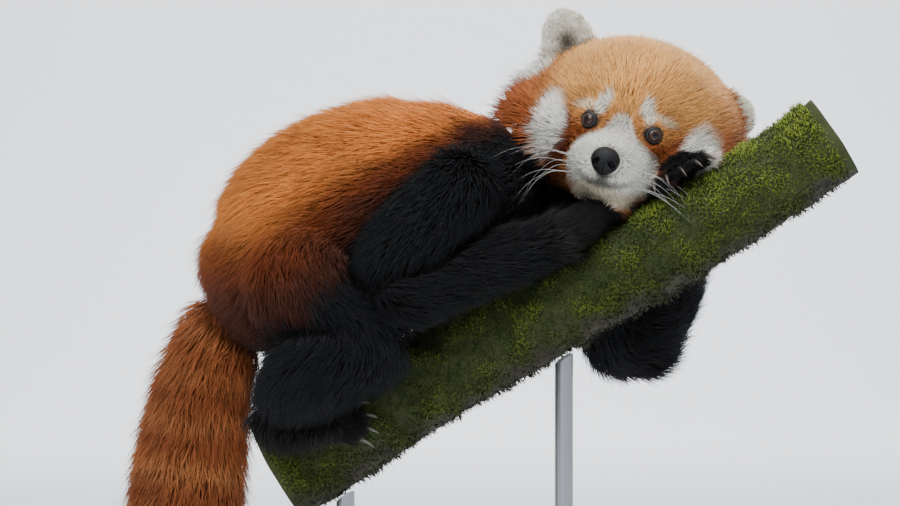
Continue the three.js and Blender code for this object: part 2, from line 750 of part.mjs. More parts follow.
// The elbows and thighs carry a fringe of long locks. A fringe is [from, to] along the limb and the angles it spans.
const FRINGE_LOCK = { width: 20, thick: 4, sink: 5, rise: 7, length: 34 };
const FRINGES = {
  foreleg_left_upper: { from: 0.45, to: 0.85, rows: 2, first: -60, last: 150, around: 4, seed: 31 },
  foreleg_left_lower: { from: 0.05, to: 0.35, rows: 2, first: -150, last: 60, around: 4, seed: 37 },
  foreleg_right_upper: { from: 0.3, to: 0.7, rows: 2, first: 20, last: 160, around: 3, seed: 41 },
  hindleg_right_thigh: { from: 0.2, to: 0.6, rows: 2, first: 20, last: 200, around: 4, seed: 44 },
  hindleg_left_thigh: { from: 0.2, to: 0.6, rows: 2, first: 160, last: 340, around: 4, seed: 47 },
};
function limb(name, grow = 0) {
  const form = LIMB_CORES[name];
  const whole = form.solid(grow, 0.9);
  const fringe = FRINGES[name];
  if (!fringe) return whole;
  const skip = (root, tip) => nearBranch(tip, 2) || nearHead(tip, 4);
  return joined([whole, ...coatLocks(form, { ...fringe, lock: FRINGE_LOCK, curl: 6, skip }, grow)]);
}

const BODY_LOCK = { width: 28, thick: 5, sink: 6, rise: COAT, length: 40 };
const isRed = (name) => name.endsWith("thigh");
const TORSO_LIMBS = ["foreleg_right_upper", "foreleg_left_upper", "hindleg_right_thigh", "hindleg_left_thigh"];
function torso(grow = 0) {
  const skip = (root, tip) =>
    TORSO_LIMBS.some((name) => near(LIMB_CORES[name], root, -6) || near(LIMB_CORES[name], tip, 0)) ||
    nearHead(root, 6) ||
    nearBranch(root, 2) ||
    nearBranch(tip, 0) ||
    near(TAIL, tip, 0);
  const locks = coatLocks(
    TORSO,
    { rows: 6, around: 10, from: 0.14, to: 0.9, lock: BODY_LOCK, seed: 5, curl: 8, skip },
    grow,
  );
  return joined([TORSO.solid(grow), ...locks]);
}

// Every node in order of rank. A solid is cut clear of all those before it.
const FUR_RED = 0xa8531f;
const FUR_BLACK = 0x15161b;
const FUR_WHITE = 0xdad6c8;
const finish = (color, roughness, metalness = 0) => ({ color, roughness, metalness });
const nodes = [
  { name: "perch_branch", make: branch, look: finish(0x55601f, 0.95) },
  { name: "stand_base", make: standBase, look: finish(0x2e2d2b, 0.5) },
  ...ROD_PLACES.map((x, i) => ({
    name: "stand_rod_" + (i + 1),
    make: (grow) => standRod(x, grow),
    look: finish(0x77777a, 0.35, 0.9),
  })),
  ...["forepaw_left", "forepaw_right"].map((name) => ({
    name,
    make: (grow) => paw(PAWS[name], grow),
    look: finish(FUR_BLACK, 0.9),
  })),
  { name: "nose", make: nose, look: finish(0x1b1b1e, 0.4) },
  { name: "eye_right", make: (grow) => eye(-1, grow), look: finish(0x2a1a12, 0.1) },
  { name: "eye_left", make: (grow) => eye(1, grow), look: finish(0x2a1a12, 0.1) },
  { name: "head", make: head, look: finish(FUR_RED, 0.9) },
  ...Object.entries(EARS).map(([name, place]) => ({
    name,
    make: (grow) => ear(place, grow),
    look: finish(FUR_WHITE, 0.9),
  })),
  { name: "neck", make: (grow) => NECK.solid(grow), look: finish(FUR_RED, 0.9) },
  { name: "torso", make: torso, look: finish(FUR_RED, 0.9) },
  ...Object.keys(LIMBS).map((name) => ({
    name,
    make: (grow) => limb(name, grow),
    look: finish(isRed(name) ? FUR_RED : FUR_BLACK, 0.9),
  })),
  ...["hindpaw_right", "hindpaw_left"].map((name) => ({
    name,
    make: (grow) => paw(PAWS[name], grow),
    look: finish(FUR_BLACK, 0.9),
  })),
  ...Object.entries(PAWS).flatMap(([name, { toes }]) =>
    toes.map((toe, i) => ({
      name: `${name}_claw_${i + 1}`,
      make: () => claw(toe),
      look: finish(0xcfc4ae, 0.4),
    })),
  ),
  ...["tail_upper", "tail_middle", "tail_lower"].map((name, i) => ({
    name,
    make: (grow) => tailLength(i, grow),
    look: finish(FUR_RED, 0.9),
  })),
];

function tailLength(i, grow = 0) {
  const heights = [700, ...TAIL_CUTS, 0];
  const slab = heightSlab(heights[i + 1] + GAP / 2 - grow, heights[i] - GAP / 2 + grow);
  const whole = tailWhole(grow);
  return whole.intersect(slab);
}

const tailSolids = {};
function tailWhole(grow) {
  if (!tailSolids[grow]) {
    const skip = (root) => near(TORSO, root, -14) || nearBranch(root, 2);
    const locks = coatLocks(
      TAIL,
      { rows: 8, around: 6, from: 0.2, to: 0.93, lock: TAIL_LOCK, seed: 9, curl: 10, skip },
      grow,
    );
    tailSolids[grow] = joined([TAIL.solid(grow, 1), ...locks]);
  }
  return tailSolids[grow];
}

// Two boxes that don't meet need no cut.
function apart(a, b) {
  const [p, q] = [a.boundingBox(), b.boundingBox()];
  return [0, 1, 2].some((i) => p.min[i] > q.max[i] || q.min[i] > p.max[i]);
}

const panda = new THREE.Group();
const placed = [];
for (const { name, make, look } of nodes) {
  let solid = make(0);
  for (const { grown } of placed) if (!apart(solid, grown)) solid = solid.subtract(grown);
  solid = largest(withoutSlivers(largest(solid).getMesh()));
  placed.push({ name, grown: make(GAP) });
  const mesh = new THREE.Mesh(geometryOf(solid), new THREE.MeshStandardMaterial(look));
  mesh.name = name;
  panda.add(mesh);
}

export default panda;
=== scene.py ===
# %% [markdown]
# # A red panda at rest on a branch: a coat of real tufts over one skin
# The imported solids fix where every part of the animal, its branch and its stand is. This script dresses
# them. One smooth skin replaces the separate solids of the body, so that no seam shows, and the coat is
# laid over it tuft by tuft, each a thin closed spindle that follows the lie of the hair. Hair particles
# would be quicker, but they don't survive an export, so the tufts are plain mesh.

# %% Load the solids as the frame
import math

import bmesh
import bpy
import numpy as np
from mathutils import Matrix, Vector, noise


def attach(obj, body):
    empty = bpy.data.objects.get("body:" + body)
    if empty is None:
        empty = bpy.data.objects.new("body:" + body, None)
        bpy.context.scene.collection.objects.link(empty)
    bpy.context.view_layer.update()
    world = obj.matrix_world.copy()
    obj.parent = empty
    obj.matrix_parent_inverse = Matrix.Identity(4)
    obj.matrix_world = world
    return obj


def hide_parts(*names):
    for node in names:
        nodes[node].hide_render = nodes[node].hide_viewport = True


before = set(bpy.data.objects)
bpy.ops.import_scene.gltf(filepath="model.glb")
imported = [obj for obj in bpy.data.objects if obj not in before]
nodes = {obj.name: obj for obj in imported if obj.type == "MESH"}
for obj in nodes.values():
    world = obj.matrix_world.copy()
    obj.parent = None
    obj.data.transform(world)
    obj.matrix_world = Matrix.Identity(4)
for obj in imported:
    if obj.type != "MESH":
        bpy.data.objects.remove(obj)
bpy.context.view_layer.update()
MM = 0.001
print("solids loaded:", len(nodes), "nodes")

# %% [markdown]
# ## Small helpers
# Blender works in metres. Anatomy is easier to read in millimetres, so sizes are written in millimetres
# and turned into metres once, when a mesh is made.


# %% Helpers for numbers and meshes
def unit(rows):
    """Each row scaled to length 1."""
    return rows / np.maximum(np.linalg.norm(rows, axis=-1, keepdims=True), 1e-9)


def smoothstep(low, high, value):
    """0 below low, 1 above high, and a soft rise between them."""
    share = np.clip((value - low) / (high - low), 0, 1)
    return share * share * (3 - 2 * share)


def smooth_rows(rows, count):
    """Rows of numbers carried along a smooth curve through them."""
    rows = np.asarray(rows, float)
    padded = np.vstack([2 * rows[0] - rows[1], rows, 2 * rows[-1] - rows[-2]])
    place = np.linspace(0, len(rows) - 1, count)
    first = np.minimum(place.astype(int), len(rows) - 2)
    u = (place - first)[:, None]
    a, b, c, d = (padded[first + k] for k in range(4))
    return 0.5 * (2 * b + (c - a) * u + (2 * a - 5 * b + 4 * c - d) * u**2 + (3 * b - a - 3 * c + d) * u**3)


def mesh_object(name, points_mm, faces, smooth=True):
    """A mesh object from points in millimetres."""
    mesh = bpy.data.meshes.new(name)
    mesh.from_pydata([tuple(p * MM) for p in np.asarray(points_mm, float)], [], faces)
    mesh.update()
    mesh.polygons.foreach_set("use_smooth", [smooth] * len(mesh.polygons))
    made = bpy.data.objects.new(name, mesh)
    bpy.context.scene.collection.objects.link(made)
    return made


def loft(rings):
    """Points and faces of a closed tube through rings of equal length."""
    count, sides = len(rings), len(rings[0])
    points = [p for ring in rings for p in ring]
    faces = []
    for i in range(count - 1):
        for j in range(sides):
            k = (j + 1) % sides
            faces.append((i * sides + j, i * sides + k, (i + 1) * sides + k, (i + 1) * sides + j))
    faces.append(tuple(reversed(range(sides))))
    faces.append(tuple(range((count - 1) * sides, count * sides)))
    return points, faces


def lofts(tubes):
    """Points and faces of several closed tubes together, each a list of rings."""
    points, faces = [], []
    for rings in tubes:
        ring_points, ring_faces = loft(rings)
        faces += [tuple(i + len(points) for i in face) for face in ring_faces]
        points += ring_points
    return np.array(points), faces


def many_solids(name, points, faces):
    """One mesh of many small closed solids. Each has its row of corners in points, and all share faces."""
    count, corners = points.shape[:2]
    mesh = bpy.data.meshes.new(name)
    mesh.vertices.add(count * corners)
    mesh.vertices.foreach_set("co", (points * MM).astype(np.float32).ravel())
    loops = (np.arange(count)[:, None] * corners + faces.ravel()[None]).ravel()
    mesh.loops.add(len(loops))
    mesh.loops.foreach_set("vertex_index", loops.astype(np.int32))
    mesh.polygons.add(count * len(faces))
    mesh.polygons.foreach_set("loop_start", (np.arange(count * len(faces)) * 3).astype(np.int32))
    made = bpy.data.objects.new(name, mesh)
    bpy.context.scene.collection.objects.link(made)
    return made, mesh, loops


# %% [markdown]
# ## The body as lines with thickness
# Each limb is a smooth line with an oval section that changes along it. A station is x, y, z, half-width
# and half-height. The same lines shape the skin, steer the lie of the hair and tell the markings where
# they are, which is why they are kept as data and not only as meshes.

# %% Stations of the body, in millimetres
CHAINS = {
    "torso": dict(
        stations=[
            [46, 56, 518, 24, 28],
            [20, 36, 526, 52, 60],
            [-12, 26, 518, 68, 75],
            [-50, 24, 510, 74, 80],
            [-86, 24, 495, 73, 76],
            [-111, 26, 472, 62, 61],
        ],
        up=(0, 0, 1), depth=10, lie=1,
    ),
    "neck": dict(
        stations=[[24, 46, 532, 32, 40], [60, 78, 550, 30, 36], [96, 92, 564, 34, 36]],
        up=(0, 0, 1), depth=14, lie=-1,
    ),
    "foreleg_right_upper": dict(
        stations=[
            [4, -32, 527, 27, 30], [0, -42, 521, 29, 32],
            [-28, -58, 494, 27, 30], [-40, -60, 480, 24, 26],
        ],
        up=(0.3, -1, 0.2), depth=7, lie=1,
    ),
    "foreleg_right_lower": dict(
        stations=[[-34, -58, 463, 28, 31], [8, -50, 476, 24, 22], [56, -36, 491, 19, 17]],
        up=(0.3, -1, 0.2), depth=6, lie=1,
    ),
    "foreleg_left_upper": dict(
        stations=[[62, 70, 530, 31, 32], [94, 68, 482, 30, 32], [116, 56, 431, 30, 30]],
        up=(0.3, -1, 0.2), depth=7, lie=1,
    ),
    "foreleg_left_lower": dict(
        stations=[[124, 54, 428, 28, 28], [144, 56, 468, 26, 25], [153, 50, 505, 19, 20]],
        up=(0.3, -1, 0.2), depth=6, lie=1,
    ),
    "hindleg_right_thigh": dict(
        stations=[
            [-92, -8, 492, 34, 40], [-92, -26, 470, 42, 44],
            [-78, -44, 450, 36, 38], [-54, -53, 438, 32, 31],
        ],
        up=(0.3, -1, 0.2), depth=7, lie=1,
    ),
    "hindleg_right_shank": dict(
        stations=[
            [-54, -54, 432, 32, 31], [-82, -56, 415, 33, 36],
            [-100, -52, 397, 26, 30], [-106, -50, 386, 18, 20],
        ],
        up=(0.3, -1, 0.2), depth=6, lie=1,
    ),
    "hindleg_left_thigh": dict(
        stations=[
            [-92, 56, 492, 34, 40], [-90, 72, 468, 40, 42],
            [-78, 82, 448, 34, 36], [-64, 84, 438, 28, 30],
        ],
        up=(0.3, -1, 0.2), depth=7, lie=1,
    ),
    "hindleg_left_shank": dict(
        stations=[
            [-62, 82, 434, 28, 30], [-76, 72, 412, 27, 31],
            [-92, 60, 394, 22, 26], [-100, 53, 384, 18, 20],
        ],
        up=(0.3, -1, 0.2), depth=6, lie=1,
    ),
    "forepaw_right": dict(
        stations=[[62, -34, 494, 18, 14], [80, -26, 503, 18, 13], [91, -8, 511, 17, 11]],
        up=(-0.45, -0.3, 0.84), depth=2, lie=1,
    ),
    "forepaw_left": dict(
        stations=[[152, 40, 517, 17, 16], [150, 15, 537, 17, 13], [148, -6, 542, 16, 10]],
        up=(-0.48, 0, 0.88), depth=2, lie=1,
    ),
    "hindpaw_right": dict(
        stations=[[-113, -46, 378, 17, 16], [-94, -50, 378, 18, 15], [-74, -49, 383, 17, 12]],
        up=(-0.2, -0.75, 0.6), depth=2, lie=1,
    ),
    "hindpaw_left": dict(
        stations=[[-106, 50, 374, 17, 16], [-86, 52, 374, 18, 15], [-64, 50, 380, 17, 12]],
        up=(-0.2, 0.75, 0.6), depth=2, lie=1,
    ),
    "tail": dict(
        stations=[
            [-112, 34, 462, 24, 24],
            [-140, 42, 446, 32, 32],
            [-158, 48, 415, 37, 37],
            [-168, 50, 375, 41, 41],
            [-175, 50, 323, 44, 44],
            [-182, 48, 260, 45, 45],
            [-190, 46, 190, 43, 43],
            [-197, 44, 120, 37, 37],
            [-201, 42, 62, 20, 20],
        ],
        up=(0, -1, 0), depth=14, lie=1,
    ),
}
PAWS = ["forepaw_right", "forepaw_left", "hindpaw_right", "hindpaw_left"]


# %% Lines, sections and tubes of the body
def trace(chain, count=28):
    """Centre line, frame and half-sizes of a chain, worked out at evenly spread places."""
    rows = smooth_rows(chain["stations"], count)
    centre = rows[:, :3]
    along = unit(np.gradient(centre, axis=0))
    across = unit(np.cross(np.asarray(chain["up"], float), along))
    above = np.cross(along, across)
    return dict(centre=centre, along=along, across=across, above=above, half=rows[:, 3:])


for chain in CHAINS.values():
    chain.update(trace(chain))


def tube_rings(centre, along, across, above, half, sides=28, dome=0.8):
    """Rings of a tube, with both ends rounded."""
    angles = np.linspace(0, 2 * math.pi, sides, endpoint=False)[:, None]

    def ring(i, shrink, push):
        out = across[i] * np.cos(angles) * half[i, 0] + above[i] * np.sin(angles) * half[i, 1]
        return centre[i] + along[i] * push + out * shrink

    ends = [math.radians(a) for a in (80, 60, 40, 20)]
    first, last = 0, len(centre) - 1
    low = half[first].min() * dome
    high = half[last].min() * dome
    rings = [ring(first, math.cos(a), -low * math.sin(a)) for a in ends]
    rings += [ring(i, 1, 0) for i in range(len(centre))]
    rings += [ring(last, math.cos(a), high * math.sin(a)) for a in reversed(ends)]
    return rings


def toes_of(chain, length=15, fan=math.radians(13)):
    """Root, tip and directions of the five toes at the end of a paw."""
    rows = []
    along, across, above = chain["along"][-1], chain["across"][-1], chain["above"][-1]
    for step in (-2, -1, 0, 1, 2):
        ahead = along * math.cos(step * fan) + across * math.sin(step * fan) - above * 0.3
        ahead = ahead / np.linalg.norm(ahead)
        root = chain["centre"][-1] + across * step * chain["half"][-1, 0] * 0.4 - above
        tip = root + ahead * length * (1 - 0.09 * step * step)
        rows.append(dict(root=root, tip=tip, ahead=ahead, above=above))
    return rows


for name in PAWS:
    CHAINS[name]["toes"] = toes_of(CHAINS[name])
print("body lines:", ", ".join(CHAINS))

# %% [markdown]
# ## The head
# A skull under fur has few hard edges, so the head is a handful of egg shapes that melt into each other:
# skull, forehead, cheeks, muzzle and chin. Their common surface is found by walking out from the middle
# in each direction until the blended distance changes sign. The head's own frame has x to the animal's
# left, y to the back of the skull and z up, so that both sides of the face come from the same numbers.

# %% The head's frame and its blended shape
HEAD_CENTRE = np.array([121.2, 45, 571.5])
HEAD_ROLL = math.radians(14.4)
HEAD_YAW = math.radians(-10.5)
HEAD_TURN = np.array(Matrix.Rotation(HEAD_ROLL, 3, "Y") @ Matrix.Rotation(HEAD_YAW, 3, "Z"))
HEAD_MASSES = [
    ((0, 8, 2), (70, 60, 57)),
    ((0, -18, 22), (46, 38, 34)),
    ((-44, -6, -16), (31, 38, 32)),
    ((44, -6, -16), (31, 38, 32)),
    ((0, -52, -31), (27, 28, 20)),
    ((0, -42, -45), (25, 26, 14)),
    ((0, -8, -34), (44, 40, 24)),
]
HEAD_BLEND = 3.0
EYE_RADIUS = 7.5
EYE_SPOT = np.array([20.5, -44, -5])
NOSE_SPOT = np.array([0, -81, -30])


def to_head(points):
    """World millimetres to the head's frame."""
    return (points - HEAD_CENTRE) @ HEAD_TURN


def from_head(points):
    """The head's frame to world millimetres."""
    return points @ HEAD_TURN.T + HEAD_CENTRE


def head_field(q):
    """Rough distance outside the blended head, in millimetres, below 0 inside."""
    total = 0
    for centre, half in HEAD_MASSES:
        away = (np.linalg.norm((q - np.array(centre)) / np.array(half), axis=1) - 1) * min(half)
        total = total + np.exp(-away / HEAD_BLEND)
    return -HEAD_BLEND * np.log(total)


def head_reach(directions):
    """How far the head's surface lies from its middle in each direction."""
    low = np.full(len(directions), 10.0)
    high = np.full(len(directions), 140.0)
    for _ in range(18):
        middle = (low + high) / 2
        inside = head_field(directions * middle[:, None]) < 0
        low = np.where(inside, middle, low)
        high = np.where(inside, high, middle)
    return low


def near_eye(q):
    """Distance from the nearer eye, seen from the front."""
    return np.hypot(np.abs(q[:, 0]) - EYE_SPOT[0], q[:, 2] - EYE_SPOT[2])


def face_shortness(q):
    """1 on the short-haired middle of the face, round nose and eyes, and 0 elsewhere on the head."""
    muzzle = 1 - smoothstep(24, 44, np.linalg.norm((q - np.array([0, -68, -29])) * [1, 1, 1.1], axis=1))
    eyes = (1 - smoothstep(8, 20, near_eye(q))) * (q[:, 1] < -20)
    return np.maximum(muzzle, eyes)


def ruff_share(q):
    """1 at the sides of the head, where the cheeks' long hair stands off, and 0 in the face and on top."""
    side = smoothstep(50, 70, np.abs(q[:, 0]) + 0.6 * np.maximum(-q[:, 2] - 14, 0))
    side = side * np.where(q[:, 0] < 0, 1, 0.35)  # the other cheek is pressed down by the branch
    return side * smoothstep(42, 22, q[:, 2]) * (1 - face_shortness(q))


def side_fringe(q):
    """1 just below the free ear, where a fan of long white hair grows, and 0 elsewhere."""
    away = np.linalg.norm(np.stack([np.abs(q[:, 0]) - 68, q[:, 1] - 4, q[:, 2] - 18], axis=1), axis=1)
    return (1 - smoothstep(11, 17, away)) * (q[:, 0] < 0)


def by_cheek(q):
    """1 on body hair that would lie over the free cheek, and 0 elsewhere."""
    return 1 - smoothstep(16, 32, np.hypot(q[:, 0] + 76, q[:, 2] + 20))


def head_depth(q):
    """How deep the skin lies under the outside of the coat on the head."""
    at_eye = (1 - smoothstep(6, 12, near_eye(q))) * (q[:, 1] < -20)
    return 4.5 - 2.5 * face_shortness(q) - 3.0 * ruff_share(q) - 1.5 * at_eye


# %% [markdown]
# ## One skin
# Every part is made as its own closed shape, a coat's depth inside the solids, and a voxel remesh melts
# them into one surface. A few rounds of smoothing then soften the joints as muscle would. The ears are
# curved shells.

# %% Shapes that go into the skin
parts = []
for name, chain in CHAINS.items():
    rows = smooth_rows(chain["stations"], 28)
    half = np.maximum(chain["half"] - chain["depth"], 5)
    dome = 0.95 if name == "tail" else 0.8
    rings = tube_rings(chain["centre"], chain["along"], chain["across"], chain["above"], half, dome=dome)
    parts.append(mesh_object("part_" + name, *loft(rings)))

TOE_RADIUS = 4.6
for name in PAWS:
    for toe in CHAINS[name]["toes"]:
        back = toe["root"] - 0.5 * (toe["tip"] - toe["root"])
        stations = [[*p, TOE_RADIUS, TOE_RADIUS] for p in (back, toe["root"], toe["tip"])]
        line = dict(stations=stations, up=toe["above"])
        rings = tube_rings(**trace(line, 8), sides=14, dome=1)
        parts.append(mesh_object("part_toe", *loft(rings)))


def icosphere(levels):
    """Points on a unit ball, with its faces."""
    ball = bmesh.new()
    bmesh.ops.create_icosphere(ball, subdivisions=levels, radius=1)
    points = np.array([v.co[:] for v in ball.verts])
    faces = [tuple(v.index for v in f.verts) for f in ball.faces]
    ball.free()
    return points, faces


directions, faces = icosphere(6)
surface = directions * head_reach(directions)[:, None]
skull = surface - directions * head_depth(surface)[:, None]
parts.append(mesh_object("part_head", from_head(skull), faces))

EARS = {
    "ear_right": dict(at=(-57, 6, 43), lean=-30, back=0, face=8, side=-1),
    "ear_left": dict(at=(57, 2, 20), lean=52, back=40, face=-10, side=1),
}
EAR_HALF = np.array([17.5, 8, 23])
for ear in EARS.values():
    turn = Matrix.Rotation(math.radians(ear["lean"]), 3, "Y")
    turn = turn @ Matrix.Rotation(math.radians(-ear["back"]), 3, "X")
    turn = turn @ Matrix.Rotation(math.radians(ear["face"]), 3, "Z")
    ear["turn"] = np.array(turn)
    ear["origin"] = np.array(ear["at"], float)


def to_ear(ear, q):
    """The head's frame to the ear's: x across, y to its back, z to its tip."""
    return (q - ear["origin"]) @ ear["turn"]


ball, faces = icosphere(4)
for ear in EARS.values():
    round_back = np.sqrt(np.clip(1 - ball[:, 0] ** 2 - ball[:, 2] ** 2, 0, 1)) * EAR_HALF[1]
    depth = np.where(ball[:, 1] >= 0, round_back, round_back - 4.5)
    shell = np.stack([ball[:, 0] * EAR_HALF[0], depth, ball[:, 2] * EAR_HALF[2]], axis=1)
    parts.append(mesh_object("part_ear", from_head(shell @ ear["turn"].T + ear["origin"]), faces))
print("shapes in the skin:", len(parts))

# %% Melt the shapes into one skin
VOXEL = 2.4
joined = bmesh.new()
for part in parts:
    joined.from_mesh(part.data)
    bpy.data.objects.remove(part)
bmesh.ops.recalc_face_normals(joined, faces=joined.faces)
skin_mesh = bpy.data.meshes.new("skin")
joined.to_mesh(skin_mesh)
joined.free()
skin = bpy.data.objects.new("skin", skin_mesh)
bpy.context.scene.collection.objects.link(skin)


def apply_modifiers(made):
    """Bakes an object's modifiers into its mesh."""
    evaluated = made.evaluated_get(bpy.context.evaluated_depsgraph_get())
    mesh = bpy.data.meshes.new_from_object(evaluated)
    made.modifiers.clear()
    made.data = mesh


def vertex_rows(mesh, field="co"):
    """A mesh's points or normals as rows."""
    rows = np.empty(len(mesh.vertices) * 3, np.float32)
    mesh.vertices.foreach_get(field, rows)
    return rows.reshape(-1, 3).astype(float)


melt = skin.modifiers.new("melt", "REMESH")
melt.mode = "VOXEL"
melt.voxel_size = VOXEL * MM
apply_modifiers(skin)
off_head = head_field(to_head(vertex_rows(skin.data) / MM))
softness = skin.vertex_groups.new(name="softness")
levels = np.round(np.clip(0.12 + off_head / 30, 0.12, 1), 2)
for level in np.unique(levels):
    softness.add(np.flatnonzero(levels == level).tolist(), float(level), "REPLACE")
soften = skin.modifiers.new("soften", "SMOOTH")
soften.factor = 0.5
soften.iterations = 24
soften.vertex_group = "softness"
apply_modifiers(skin)
skin.data.polygons.foreach_set("use_smooth", [True] * len(skin.data.polygons))
print("skin:", len(skin.data.polygons), "faces")

# %% [markdown]
# ## Where on the animal is a point?
# Hair direction, length and colour all depend on the part that a point belongs to. For each point the
# nearest place on every line gives a distance, and soft weights from those distances let one part run
# into the next, so that the coat turns smoothly from shoulder to flank.

# %% Nearest parts, lie of the hair and a place on an unwrap
PART_NAMES = list(CHAINS) + ["head", "ear_right", "ear_left"]
PART = {name: i for i, name in enumerate(PART_NAMES)}


def ear_fringe(ear, e):
    """1 at the outer lower edge of an ear, where long hair fans out, and 0 elsewhere on it."""
    return smoothstep(-1, -9, e[:, 2]) * smoothstep(2, 8, e[:, 0] * ear["side"])


def locate(points):
    """For points in world mm: nearest part, lie direction, and coordinates along and round that part."""
    count = len(points)
    distance = np.empty((len(PART_NAMES), count))
    lie = np.empty((len(PART_NAMES), count, 3))
    along_part = np.zeros((len(PART_NAMES), count))
    round_part = np.zeros((len(PART_NAMES), count))
    for k, chain in enumerate(CHAINS.values()):
        offset = points[:, None, :] - chain["centre"][None]
        reach = np.linalg.norm(offset, axis=2) - chain["half"].mean(axis=1)[None]
        nearest = reach.argmin(axis=1)
        rows = np.arange(count)
        distance[k] = reach[rows, nearest]
        lie[k] = chain["along"][nearest] * chain["lie"]
        away = offset[rows, nearest]
        side = (away * chain["across"][nearest]).sum(axis=1)
        high = (away * chain["above"][nearest]).sum(axis=1)
        step = (away * chain["along"][nearest]).sum(axis=1)
        along_part[k] = (nearest + np.clip(step / 10, -0.5, 0.5)) / len(chain["centre"])
        round_part[k] = np.arctan2(high, side) / (2 * math.pi) + 0.5
    q = to_head(points)
    k = PART["head"]
    distance[k] = head_field(q)
    from_nose = unit(q - (NOSE_SPOT + [0, -6, 4]))
    from_eye = unit((q - EYE_SPOT * np.where(q[:, :1] < 0, [-1, 1, 1], [1, 1, 1])) * [1, 0, 1])
    at_eye = ((1 - smoothstep(7, 15, near_eye(q))) * (q[:, 1] < -20))[:, None]
    fan = side_fringe(q)[:, None] * np.array([-2, 0.2, -1.0])
    lie[k] = (from_nose * (1 - at_eye) + from_eye * at_eye + fan) @ HEAD_TURN.T
    direction = unit(q)
    along_part[k] = np.arccos(np.clip(direction[:, 2], -1, 1)) / math.pi
    round_part[k] = np.arctan2(direction[:, 0], direction[:, 1]) / (2 * math.pi) + 0.5
    for name, ear in EARS.items():
        k = PART[name]
        e = to_ear(ear, q)
        distance[k] = (np.linalg.norm(e / (EAR_HALF + [1.5, 4, 1.5]), axis=1) - 1) * EAR_HALF[0]
        distance[k] = np.where(head_field(q) > -2, distance[k], 99)
        fan = np.stack([e[:, 0] * 0.7, e[:, 1] * 0.2, e[:, 2] + 26], axis=1)
        fan += ear_fringe(ear, e)[:, None] * np.array([ear["side"] * 60, 0, -50])
        lie[k] = fan @ ear["turn"].T @ HEAD_TURN.T
        along_part[k] = np.clip(e[:, 2] / 60 + 0.5, 0, 1)
        round_part[k] = np.clip(e[:, 0] / 80 + 0.25 + 0.5 * (e[:, 1] > 2), 0, 1)
    best = distance.argmin(axis=0)
    weight = np.exp(-(distance - distance.min(axis=0)) / 5)
    flow = (weight[:, :, None] * unit(lie)).sum(axis=0)
    rows = np.arange(count)
    return dict(
        part=best,
        flow=unit(flow),
        along=along_part[best, rows],
        round=round_part[best, rows],
        head=q,
        off_head=distance[PART["head"]],
    )


# %% [markdown]
# ## The markings, with some painted shade
# A red panda is ginger to rust above and black below. The face is tan with white cheeks, muzzle, brows
# and ears, and a rust tear stripe runs from each eye to the corner of the mouth. Each mark is a soft
# oval, or a soft side of a line, with its edge broken up by noise. The one function below colours the
# skin and the tufts alike, so the two can't disagree.
# Some of the colour below is painted shade: the legs, the mouth line and a patch on one lower cheek are
# darkened where shade falls.


# %% Colours of the coat
def tint(red, green, blue):
    """A display colour from 0 to 255, as the linear colour that shaders use."""
    share = np.array([red, green, blue]) / 255
    return np.where(share <= 0.04045, share / 12.92, ((share + 0.055) / 1.055) ** 2.4)


GOLDEN = tint(229, 140, 64)
FLANK = tint(126, 60, 24)
RUST = tint(168, 90, 42)
DEEP_RUST = tint(78, 37, 20)
TAN = tint(235, 172, 98)
BLACK = tint(17, 18, 21)
BROWN_BLACK = tint(40, 29, 24)
WHITE = tint(245, 242, 229)
CREAM = tint(234, 222, 194)
EAR_SHADOW = tint(92, 82, 68)
LIP_AND_CREASE_SHADE = tint(72, 66, 62)
TEAR = tint(140, 72, 38)
BUFF = tint(190, 130, 78)
TAIL_RED = tint(158, 86, 44)

rng = np.random.default_rng(7)
WAVES = [(rng.normal(size=3) * 0.085, rng.uniform(0, 6.28), 1.0) for _ in range(7)]
WAVES += [(rng.normal(size=3) * 0.26, rng.uniform(0, 6.28), 0.6) for _ in range(7)]


def ripple(points):
    """Smooth noise between about -1 and 1, from a few crossing waves."""
    total = sum(size * np.sin(points @ wave + phase) for wave, phase, size in WAVES)
    return total / 3.2


def mix(base, colour, amount):
    return base + (np.asarray(colour) - base) * np.clip(amount, 0, 1)[:, None]


def oval(q, centre, half, turned=0.0, soft=0.22):
    """1 inside an oval on the face, seen from the front, and 0 outside, on both sides of the face."""
    x = np.abs(q[:, 0]) - centre[0]
    z = q[:, 2] - centre[1]
    c, s = math.cos(math.radians(turned)), math.sin(math.radians(turned))
    far = np.hypot((c * x + s * z) / half[0], (c * z - s * x) / half[1])
    return 1 - smoothstep(1 - soft, 1 + soft, far)


